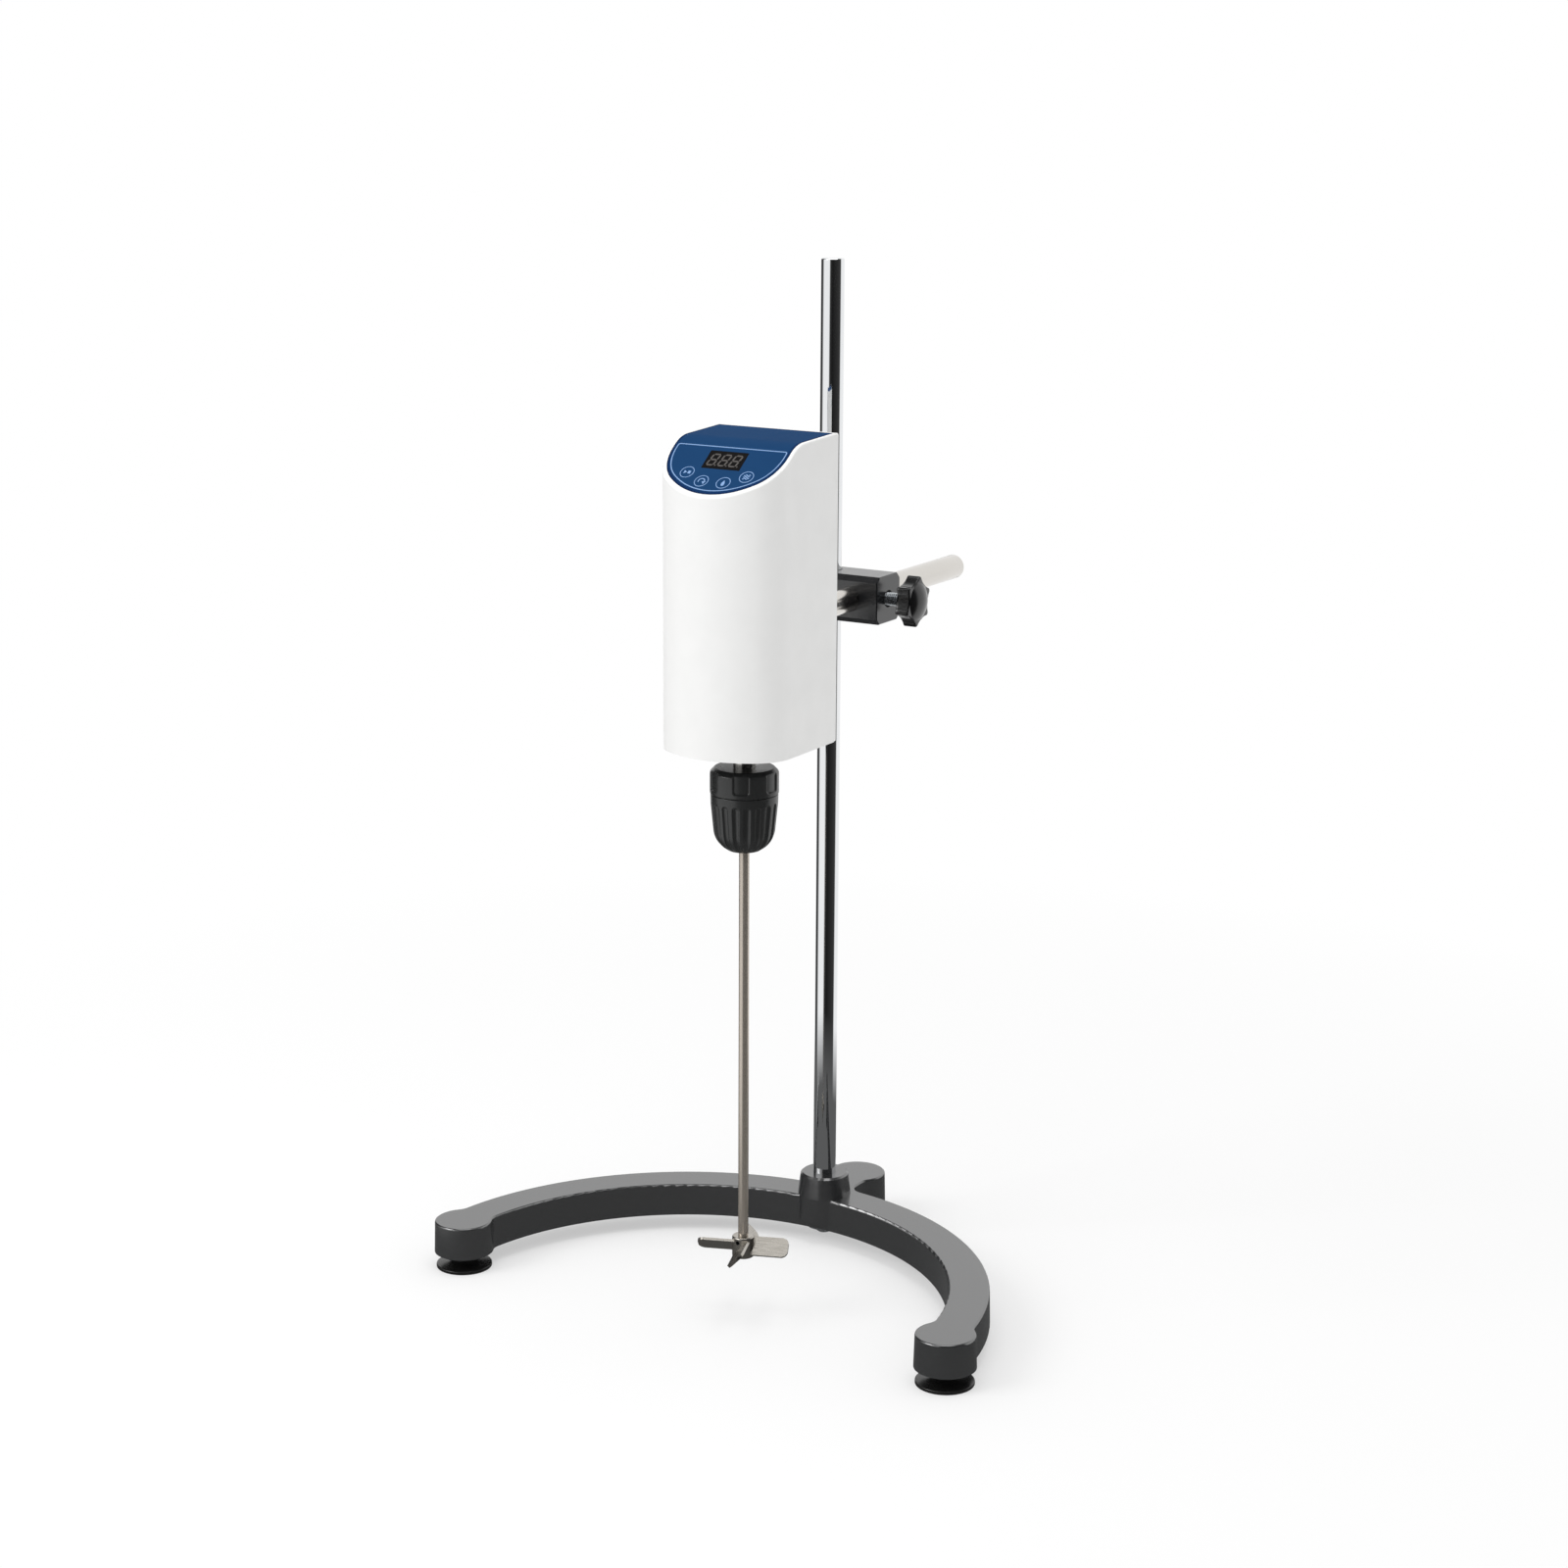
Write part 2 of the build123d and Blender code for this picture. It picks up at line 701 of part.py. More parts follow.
def frame_points():
    """Screws that fix the drive frame to the rear cover, round the arm."""
    spread = frame_half_width - frame_screw_inset
    return [(head_x + sx * spread, clamp_z + sz * spread) for sx in (-1, 1) for sz in (-1, 1)]


def back_screws(points, depth):
    """Pan-head screws put in from the back."""
    screws = []
    half = screw_slot_width / 2
    reach = screw_slot_reach
    floor_y = back_y + screw_head_height - screw_slot_depth
    for x, z in points:
        head = bar(screw_head_radius, (x, back_y, z), (x, back_y + screw_head_height, z))
        rim = [e for e in head.edges().filter_by(GeomType.CIRCLE) if e.center().Y > back_y + 0.1]
        head = fillet(rim, 0.8)
        shank = bar(screw_radius, (x, back_y + 0.5, z), (x, back_y - depth, z))
        slot = block((x - reach, floor_y, z - half),
                     (x + reach, floor_y + 2, z + half))
        cross = block((x - half, floor_y, z - reach),
                      (x + half, floor_y + 2, z + reach))
        screws.append(head + shank - slot - cross)
    return group(screws)


def bottom_plate():
    """Plate that closes the bottom round the spindle."""
    solid = head_prism(wall + seam_gap, shell_back_y, head_bottom, plate_top)
    solid -= stir_bar(spindle_collar_radius + 1.2, head_bottom - 1, plate_top + 1)
    for x, y in bottom_screw_points():
        solid -= bar(screw_radius + 0.2, (x, y, head_bottom - 1), (x, y, plate_top + 1))
    return solid


def bottom_screw_points():
    """Screws from beneath into the frame's lower shelf."""
    rear = back_y - bottom_screw_rear_gap
    return [(head_x - bottom_screw_spread, rear), (head_x + bottom_screw_spread, rear),
            (head_x, front_y + bottom_screw_front_gap)]


def bottom_screws():
    """Pan-head screws under the bottom plate."""
    screws = []
    half = screw_slot_width / 2
    reach = screw_slot_reach
    for x, y in bottom_screw_points():
        low = head_bottom - screw_head_height
        head = bar(screw_head_radius, (x, y, head_bottom), (x, y, low))
        head = fillet([e for e in head.edges().filter_by(GeomType.CIRCLE) if e.center().Z < low + 0.1], 0.8)
        shank = bar(screw_radius, (x, y, head_bottom - 0.5), (x, y, shelf_top))
        slot = block((x - reach, y - half, low - 1), (x + reach, y + half, low + screw_slot_depth))
        cross = block((x - half, y - reach, low - 1), (x + half, y + reach, low + screw_slot_depth))
        screws.append(head + shank - slot - cross)
    return group(screws)


# Switch and inlet on the back

def switch_middle():
    """Place of the switch on the back."""
    return (head_x - service_offset, back_y, service_z)


def inlet_middle():
    """Place of the power inlet on the back."""
    return (head_x + service_offset, back_y, service_z)


def switch_hole():
    """Cut-out for the switch body in the rear cover."""
    x, y, z = switch_middle()
    half_w = switch_width / 2
    half_h = switch_height / 2
    return block((x - half_w, y - cover_thickness - 1, z - half_h), (x + half_w, y + 1, z + half_h))


def inlet_hole():
    """Round hole for the inlet's threaded barrel."""
    x, y, z = inlet_middle()
    return bar(inlet_radius + seam_gap, (x, y - cover_thickness - 1, z), (x, y + 1, z))


def switch_frame():
    """Body and bezel of the switch, hollow where the rocker tilts."""
    x, y, z = switch_middle()
    half_w = switch_width / 2
    half_h = switch_height / 2
    body = block((x - half_w, y - switch_depth, z - half_h), (x + half_w, y + 0.5, z + half_h))
    bezel = block((x - half_w - 1, y, z - half_h - 1), (x + half_w + 1, y + switch_flange, z + half_h + 1))
    bezel = fillet(bezel.edges().filter_by(Axis.Y), 1.0)
    solid = body + bezel
    well_w = half_w - 1.2
    well_h = half_h - 1.2
    solid -= block((x - well_w, y - 6.0, z - well_h), (x + well_w, y + 5, z + well_h))
    for dx in (-1, 0, 1):
        blade = block((x - 0.4, y - switch_depth - 7, z + dx * 6 - 2.3), (x + 0.4, y - switch_depth + 1, z + dx * 6 + 2.3))
        solid += blade
    return solid


def switch_rocker():
    """Rocker with two inclined faces, at rest tilted to one side."""
    x, y, z = switch_middle()
    half_w = switch_width / 2 - 1.2 - part_gap
    reach = switch_height / 2 - 1.2 - 0.7
    profile = make_face([
        Line((-reach, 2.0), (0, 0.9)),
        Line((0, 0.9), (reach, 2.0)),
        Line((reach, 2.0), (reach - 0.8, -1.6)),
        ThreePointArc((reach - 0.8, -1.6), (0, -4.2), (-reach + 0.8, -1.6)),
        Line((-reach + 0.8, -1.6), (-reach, 2.0)),
    ])
    solid = Rot(0, 0, -rocker_tilt) * extrude(profile, half_w, both=True)
    pivot = Plane(origin=(x, y + rocker_lift, z), x_dir=(0, 0, 1), z_dir=(-1, 0, 0))
    return pivot.location * solid


def power_inlet():
    """Round low-voltage socket with a centre pin."""
    x, y, z = inlet_middle()
    front = y + inlet_flange_height
    solid = bar(inlet_radius, (x, y - inlet_depth, z), (x, y + 0.5, z))
    solid += bar(inlet_flange_radius, (x, y, z), (x, front, z))
    solid = chamfer([e for e in solid.edges().filter_by(GeomType.CIRCLE)
                     if abs(e.center().Y - front) < 0.01], 0.6)
    floor = front - inlet_socket_depth
    solid -= bar(inlet_socket_radius, (x, floor, z), (x, front + 1, z))
    solid += bar(inlet_pin_radius, (x, floor - 0.5, z), (x, front - 1.5, z))
    return solid


def inlet_nut():
    """Nut that holds the inlet from inside."""
    x, y, z = inlet_middle()
    nut = extrude(RegularPolygon(inlet_nut_flats / 2, 6, major_radius=False), inlet_nut_thickness)
    nut -= Cylinder(inlet_radius, inlet_nut_thickness * 3)
    return Pos(x, shell_back_y, z) * Rot(90, 0, 0) * nut


# Drive pieces

def drive_frame():
    """Bent steel bracket: back plate, lower bearing shelf and upper motor shelf."""
    inner = head_prism(wall + 1.5, shell_back_y, plate_top, head_top)
    rear = shell_back_y
    front = rear - frame_thickness
    top = motor_shelf_z + motor_length + frame_head_rise
    wide = block((head_x - frame_half_width, front, clamp_z - frame_half_width),
                 (head_x + frame_half_width, rear, top))
    neck = block((head_x - frame_neck_half_width, front, plate_top),
                 (head_x + frame_neck_half_width, rear, clamp_z))
    lower = block((head_x - frame_foot_half_width, front_y + frame_front_gap, plate_top),
                  (head_x + frame_foot_half_width, rear, shelf_top)) & inner
    upper = block((head_x - frame_half_width, stir_y - motor_radius, motor_shelf_z - frame_thickness),
                  (head_x + frame_half_width, rear, motor_shelf_z))
    solid = wide + neck + lower + upper
    vent_top = vent_z + (vent_count - 1) * vent_pitch + 4
    side = vent_length / 2 + 2
    solid -= block((head_x - side, front - 1, vent_z - 4), (head_x + side, rear + 1, vent_top))
    for x, z in cover_points():
        solid -= bar(corner_post_radius + part_gap, (x, rear + 1, z), (x, rear - corner_post_length - 1, z))
    solid -= bar(arm_spigot_radius + slip_gap, (arm_x, rear + 1, clamp_z), (arm_x, front - 1, clamp_z))
    solid -= stir_bar(bearing_outer_radius + 3, plate_top - 1, shelf_top + 1)
    solid -= stir_bar(coupling_radius + 1, motor_shelf_z - frame_thickness - 1, motor_shelf_z + 1)
    for x, z in frame_points():
        solid -= bar(screw_radius, (x, rear + 1, z), (x, front - 1, z))
    for x, y in bottom_screw_points():
        solid -= bar(screw_radius, (x, y, plate_top - 1), (x, y, shelf_top + 1))
    for x, y in stir_places(housing_flange_radius - housing_screw_inset, 4, 45):
        solid -= bar(screw_radius, (x, y, plate_top + 0.5), (x, y, shelf_top + 1))
    for x, y in stir_places(motor_radius - motor_screw_inset, 4, 45):
        solid -= bar(screw_radius + 0.2, (x, y, motor_shelf_z - 6), (x, y, motor_shelf_z + 1))
    for x, z in board_post_points():
        solid -= bar(screw_radius, (x, rear + 1, z), (x, front - 1, z))
    return solid


def bearing_housing():
    """Flanged housing with a bearing seat at each end."""
    low = shelf_top
    top = low + housing_height
    outer = turned([(0, low), (housing_flange_radius, low), (housing_flange_radius, low + housing_flange_thickness),
                    (housing_radius + 2, low + housing_flange_thickness),
                    (housing_radius, low + housing_flange_thickness + 2),
                    (housing_radius, top - 1), (housing_radius - 1, top), (0, top)], stir_x, stir_y)
    solid = outer - stir_bar(bearing_outer_radius, low - 1, low + bearing_width)
    solid -= stir_bar(bearing_outer_radius, top - bearing_width, top + 1)
    solid -= stir_bar(bearing_outer_radius - 2.5, low, top)
    for x, y in stir_places(housing_flange_radius - housing_screw_inset, 4, 45):
        solid -= bar(screw_radius, (x, y, low - 1), (x, y, low + housing_flange_thickness + 1))
        solid -= bar(screw_head_radius + 0.4, (x, y, low + housing_flange_thickness), (x, y, low + 14))
    return solid


def housing_screws():
    """Screws through the housing flange into the lower shelf."""
    seat = shelf_top + housing_flange_thickness
    screws = []
    for x, y in stir_places(housing_flange_radius - housing_screw_inset, 4, 45):
        head = bar(screw_head_radius, (x, y, seat), (x, y, seat + 3))
        head -= Pos(x, y, seat + 1.6) * extrude(RegularPolygon(1.4, 6), 2)
        screws.append(head + bar(screw_radius, (x, y, plate_top + 0.5), (x, y, seat + 0.5)))
    return group(screws)


def bearing(low):
    """Shielded ball bearing as outer and inner rings joined by its shields."""
    high = low + bearing_width
    inner = spindle_radius + slip_gap
    solid = stir_ring(bearing_outer_radius, inner, low, high)
    for z in (low, high - 0.6):
        solid -= stir_ring(bearing_outer_radius - 2.2, inner + 2.2, z, z + 0.6)
    return solid


def retaining_ring():
    """Open ring in the spindle's groove over the upper bearing."""
    low = shelf_top + housing_height + part_gap
    solid = stir_ring(spindle_radius + 2.2, spindle_radius, low, low + 1.0)
    return solid - block((stir_x - 2, stir_y, low - 1), (stir_x + 2, stir_y + 20, low + 3))


def spindle():
    """Hollow spindle with a collar, bearing seats and a nose for the chuck."""
    nose_low = chuck_top - spindle_nose_length
    top = coupling_lower_z() + coupling_hub_length - 1
    solid = turned([(0, nose_low), (spindle_nose_radius, nose_low), (spindle_nose_radius, chuck_top),
                    (spindle_collar_radius, chuck_top), (spindle_collar_radius, shelf_top - part_gap),
                    (spindle_radius, shelf_top - part_gap), (spindle_radius, top - 0.8),
                    (spindle_radius - 0.8, top), (0, top)], stir_x, stir_y)
    return solid - stir_bar(shaft_radius + slip_gap, nose_low - 1, shaft_top + 4)


def coupling_lower_z():
    """Height of the lower coupling hub."""
    return shelf_top + housing_height + 3


def coupling_hub(low, bore, jaws_up):
    """Coupling hub with three jaws on one face."""
    high = low + coupling_hub_length
    solid = stir_ring(coupling_radius, bore, low, high)
    jaw_low = high - 0.5 if jaws_up else low - coupling_jaw_height
    jaw_high = high + coupling_jaw_height if jaws_up else low + 0.5
    start = 0 if jaws_up else 60
    for i in range(3):
        solid += jaw_sector(start + 120 * i, 50, jaw_low, jaw_high)
    screw_y = stir_y - coupling_radius + 2
    middle = (low + high) / 2
    return solid - bar(1.5, (stir_x, screw_y - 5, middle), (stir_x, screw_y + 2.5, middle))


def jaw_sector(angle, width, low, high):
    """Part of a tube that covers one sector of the coupling."""
    tube = stir_ring(coupling_radius, 5.0, low, high)
    reach = 2 * coupling_radius
    first = radians(angle - width / 2)
    last = radians(angle + width / 2)
    wedge = make_face(Polyline((0, 0), (reach * cos(first), reach * sin(first)),
                               (reach * cos(last), reach * sin(last)), close=True))
    wedge = Pos(stir_x, stir_y, low) * extrude(wedge, high - low)
    return tube & wedge


def coupling_spider():
    """Elastic star between the coupling jaws."""
    low = coupling_lower_z() + coupling_hub_length + seam_gap
    high = low + coupling_jaw_height - 2 * seam_gap
    solid = stir_bar(5.0 - seam_gap, low, high)
    for i in range(6):
        solid += jaw_sector(30 + 60 * i, 9, low, high)
    for i in range(6):
        a = radians(30 + 60 * i)
        tip = (stir_x + 5.5 * cos(a), stir_y + 5.5 * sin(a))
        arm = Pos(*tip, (low + high) / 2) * Rot(0, 0, 30 + 60 * i) * Box(3.0, 0.7, high - low)
        solid += arm
    return solid


def motor_can():
    """Closed can of the brushless motor with a pilot and a shaft hole."""
    low = motor_base
    high = low + motor_length
    solid = turned([(0, low), (motor_radius, low), (motor_radius, high - 2), (motor_radius - 2, high), (0, high)],
                   stir_x, stir_y)
    solid -= stir_bar(motor_radius - motor_wall, low + motor_end_thickness, high - motor_end_thickness)
    solid -= stir_bar(motor_shaft_radius + 2.5, low - 1, low + 4)
    for x, y in stir_places(motor_radius - motor_screw_inset, 4, 45):
        solid -= bar(screw_radius, (x, y, low - 1), (x, y, low + 4))
    return solid


def motor_stator():
    """Laminated stator with slots round the rotor."""
    low = motor_base + stator_end_gap
    high = motor_base + motor_length - stator_end_gap
    solid = stir_ring(motor_radius - motor_wall, rotor_radius + 0.5, low, high)
    for x, y in stir_places(rotor_radius + 2.5, 6):
        solid -= bar(1.8, (x, y, low - 1), (x, y, high + 1))
    return solid


def motor_rotor():
    """Magnet rotor on its shaft."""
    low = motor_base + rotor_end_gap
    high = motor_base + motor_length - rotor_end_gap
    shaft_low = coupling_lower_z() + coupling_hub_length + coupling_jaw_height + 1
    return stir_bar(rotor_radius, low, high) + stir_bar(motor_shaft_radius, shaft_low, motor_base + motor_length - 3.5)


def motor_bearings():
    """Two small bearings in the motor's ends."""
    low = motor_base + motor_end_thickness
    high = motor_base + motor_length - motor_end_thickness
    width = motor_bearing_width
    inner = motor_shaft_radius + slip_gap
    outer = motor_bearing_radius
    return group([stir_ring(outer, inner, low, low + width), stir_ring(outer, inner, high - width, high)])


def motor_screws():
    """Screws through the upper shelf into the motor."""
    seat = motor_shelf_z - frame_thickness
    screws = []
    for x, y in stir_places(motor_radius - motor_screw_inset, 4, 45):
        head = bar(screw_head_radius, (x, y, seat), (x, y, seat - 2.5))
        head -= Pos(x, y, seat - 3) * extrude(RegularPolygon(1.4, 6), 1.8)
        screws.append(head + bar(screw_radius, (x, y, seat - 0.5), (x, y, seat + 6)))
    return group(screws)


def board_post_points():
    """Posts that carry the controller board above the motor."""
    z = motor_shelf_z + motor_length + 9
    return [(head_x - board_post_spread, z), (head_x + board_post_spread, z)]


def board_posts():
    """Spacer posts between the frame and the controller board."""
    start = shell_back_y - frame_thickness
    end = start - board_post_height
    return group([bar(board_post_radius, (x, start, z), (x, end, z)) for x, z in board_post_points()])


def controller_board():
    """Upright circuit board above the motor."""
    rear = shell_back_y - frame_thickness - board_post_height
    low = motor_shelf_z + motor_length + board_gap
    high = head_top - wall - film_thickness - board_top_gap
    half = board_half_width
    return block((head_x - half, rear - board_thickness, low), (head_x + half, rear, high))


def board_parts():
    """Larger parts on the controller board: capacitors, coil, chip and relay."""
    face = shell_back_y - frame_thickness - board_post_height - board_thickness
    low = motor_shelf_z + motor_length + board_gap
    row = low + part_row_rise
    parts = [bar(capacitor_radius, (head_x + dx, face, row), (head_x + dx, face - capacitor_length, row))
             for dx in (-part_row_spread, -part_row_spread + 2 * capacitor_radius + 2)]
    parts.append(bar(coil_radius, (head_x + part_row_spread, face, row),
                     (head_x + part_row_spread, face - coil_length, row)))
    chip = chip_size / 2
    parts.append(block((head_x + 1 - chip, face - chip_thickness, row + 2 - chip), (head_x + 1 + chip, face, row + 2 + chip)))
    relay = row + relay_rise
    parts.append(block((head_x - relay_length / 2, face - relay_thickness, relay),
                       (head_x + relay_length / 2, face, relay + relay_height)))
    return group(parts)


# Chuck pieces

def jaw_reach(height):
    """Radius of the jaws' outermost points at a height above the chuck's nose."""
    tilt = radians(jaw_tilt)
    return shaft_radius + 0.55 * jaw_radius + jaw_radius / cos(tilt) + height * tan(tilt)


def nose_radius():
    """Radius of the chuck body's nose."""
    return jaw_reach(0) + 0.8


def front_sleeve_profile():
    """Half section of the front sleeve's outside: straight, tapered, then rounded to the nose."""
    top = front_sleeve_top
    nose = chuck_nose
    r = chuck_radius
    tip = nose_radius() + 1.2
    return [
        Line((0, top), (r - 0.5, top)),
        Line((r - 0.5, top), (r - 0.2, top - 0.6)),
        Line((r - 0.2, top - 0.6), (r - 0.4, top - 5)),
        Line((r - 0.4, top - 5), (r - 2.0, nose + 12)),
        front_sleeve_curve(),
        Line((r - 9.0, nose + 0.9), (tip, nose)),
        Line((tip, nose), (0, nose)),
        Line((0, nose), (0, top)),
    ]


def front_sleeve_curve():
    """Arc of the front sleeve's rounded lower part, from the taper to the nose."""
    r = chuck_radius
    return ThreePointArc((r - 2.0, chuck_nose + 12), (r - 4.4, chuck_nose + 5.2), (r - 9.0, chuck_nose + 0.9))


def flute_cutter():
    """Round tool along one flute: a ball end at the top, the taper, then two chords round the curve."""
    curve = front_sleeve_curve()
    upper = curve.arc_center
    stations = []
    for share, depth in ((0.0, flute_depth), (0.42, flute_depth), (0.84, flute_depth / 2)):
        point = curve @ share
        away = (point - upper).normalized()
        stations.append(point + away * (flute_radius - depth))
    lean = 1.6 / (front_sleeve_height - 17)
    rise = front_sleeve_top - flute_top_gap - stations[0].Y
    stations.insert(0, stations[0] + Vector(rise * lean, rise))
    places = [(point.X, 0, point.Y) for point in stations]
    tool = Pos(places[0]) * Sphere(flute_radius) + Pos(places[-1]) * Sphere(flute_radius)
    for start, end in zip(places[:-1], places[1:]):
        tool += bar(flute_radius, start, end)
    return tool


def chuck_front_sleeve():
    """Fluted front sleeve that turns the jaw nut."""
    profile = make_face(front_sleeve_profile())
    solid = Pos(stir_x, stir_y, 0) * revolve(Plane.XZ * profile, Axis.Z)
    cutter = flute_cutter()
    for i in range(flute_count):
        solid -= Pos(stir_x, stir_y, 0) * Rot(0, 0, flute_start + 360 * i / flute_count) * cutter
    body_space = chuck_body_radius + part_gap
    opening = nose_radius() + part_gap
    solid -= turned([(0, chuck_nose - 1), (opening, chuck_nose - 1), (opening, chuck_nose + 2),
                     (body_space, chuck_nose + 11.2), (body_space, chuck_nose + 12),
                     (sleeve_cavity_radius, chuck_nose + jaw_nut_rise),
                     (sleeve_cavity_radius, front_sleeve_top + 1), (0, front_sleeve_top + 1)], stir_x, stir_y)
    return solid


def jaw_nut():
    """Nut ring in the front sleeve that drives the jaws."""
    low = chuck_nose + jaw_nut_rise
    inner = jaw_reach(jaw_nut_rise + jaw_nut_height) + part_gap
    return stir_ring(sleeve_cavity_radius, inner, low, low + jaw_nut_height)


def chuck_rear_sleeve():
    """Rear sleeve with wide finger recesses, fixed on the chuck body."""
    low = sleeve_split
    r = chuck_radius
    solid = turned([(0, low), (r - 0.4, low), (r, low + 0.4), (r, chuck_top - sleeve_bevel),
                    (r - sleeve_bevel, chuck_top), (0, chuck_top)], stir_x, stir_y)
    recess_low = low + 2.2
    for i in range(recess_count):
        solid -= sleeve_recess(360 * i / recess_count + recess_start, recess_low)
    solid -= stir_bar(spindle_collar_radius + seam_gap, chuck_top - 2, chuck_top + 1)
    solid -= stir_bar(chuck_body_radius, low - 1, chuck_top - 1.5)
    return solid


def sleeve_recess(angle, low):
    """Shallow recess with a round lower end, open at the bevel."""
    half = radians(recess_angle / 2)
    width = 2 * chuck_radius * sin(half)
    high = chuck_top - sleeve_bevel + 0.2
    corner = width * 0.22
    face = Pos(0, (low + high + 6) / 2) * RectangleRounded(width, high + 6 - low, corner)
    cutter = extrude(Plane.YZ * face, 6)
    floor = stir_bar(chuck_radius - recess_depth, low - 2, high + 10)
    cap = stir_bar(chuck_radius + 5, high, high + 20)
    placed = Pos(stir_x, stir_y, 0) * Rot(0, 0, angle) * Pos(chuck_radius - 4, 0, 0) * cutter
    return placed - floor - cap


def jaw_frame(index):
    """Location of a jaw: origin at its lower end on its tilted axis."""
    lower_radius = shaft_radius + 0.55 * jaw_radius
    spin = 120 * index + 90
    return (Pos(stir_x, stir_y, chuck_nose) * Rot(0, 0, spin) * Pos(lower_radius, 0, 0)
            * Rot(0, jaw_tilt, 0))


def chuck_jaw(index):
    """Tilted round jaw with a flat grip face along the shaft."""
    solid = jaw_frame(index) * Cylinder(jaw_radius, jaw_length, align=(Align.CENTER, Align.CENTER, Align.MIN))
    solid -= stir_bar(shaft_radius + slip_gap, chuck_nose - 10, chuck_nose + jaw_length + 10)
    lowest = block((stir_x - 30, stir_y - 30, chuck_nose - 10), (stir_x + 30, stir_y + 30, chuck_nose - 0.6))
    return solid - lowest


def chuck_body():
    """Steel core of the chuck with three tilted jaw bores and a threaded seat for the spindle."""
    top = chuck_top - 1.5
    nose = nose_radius()
    solid = turned([(0, chuck_nose + 0.3), (nose - 0.5, chuck_nose + 0.3), (nose, chuck_nose + 0.8),
                    (nose, chuck_nose + 2.4), (chuck_body_radius, chuck_nose + 11.6),
                    (chuck_body_radius, top), (0, top)], stir_x, stir_y)
    bore = bar(jaw_radius + slip_gap, (0, 0, -12), (0, 0, jaw_length + jaw_travel + 1.5))
    for i in range(3):
        solid -= jaw_frame(i) * bore
    solid -= stir_bar(spindle_nose_radius, chuck_top - spindle_nose_length, chuck_top + 1)
    return solid - stir_bar(shaft_radius + slip_gap, chuck_nose - 1, chuck_top)


# Stirring shaft pieces

def stirring_shaft():
    """Straight stainless shaft with chamfered ends."""
    solid = stir_bar(shaft_radius, shaft_bottom, shaft_top)
    return chamfer(solid.edges().filter_by(GeomType.CIRCLE), 0.5)


def impeller():
    """Hub with pitched blades."""
    low = shaft_bottom
    high = low + impeller_hub_height
    solid = stir_bar(impeller_hub_radius, low, high)
    solid = fillet(solid.edges().filter_by(GeomType.CIRCLE), 1.0)
    middle = (low + high) / 2
    blade = Box(impeller_radius - 4, blade_width, blade_thickness)
    blade = fillet(blade.edges().filter_by(Axis.Z).group_by(Axis.X)[-1], 4.0)
    blade = Pos((impeller_radius - 4) / 2 + 4, 0, 0) * Rot(blade_pitch_angle, 0, 0) * blade
    for i in range(blade_count):
        solid += Pos(stir_x, stir_y, middle) * Rot(0, 0, 360 * i / blade_count + 20) * blade
    solid -= stir_bar(shaft_radius, low - 1, high + 1)
    screw_z = high - 3.0
    return solid - bar(1.25, (stir_x, stir_y - 10, screw_z), (stir_x, stir_y - shaft_radius, screw_z))


def impeller_screw():
    """Set screw in the impeller's hub."""
    z = shaft_bottom + impeller_hub_height - 3.0
    outer = stir_y - impeller_hub_radius + 0.4
    solid = bar(1.25, (stir_x, outer, z), (stir_x, stir_y - shaft_radius, z))
    socket = Pos(stir_x, outer + 1, z) * Rot(90, 0, 0) * extrude(RegularPolygon(0.7, 6), 2)
    return solid - socket


arm_knob_back = clamp_right_x + knob_standoff
rod_knob_back = clamp_left_x - knob_standoff
arm_seat = arm_x + arm_radius
rod_seat = -column_radius

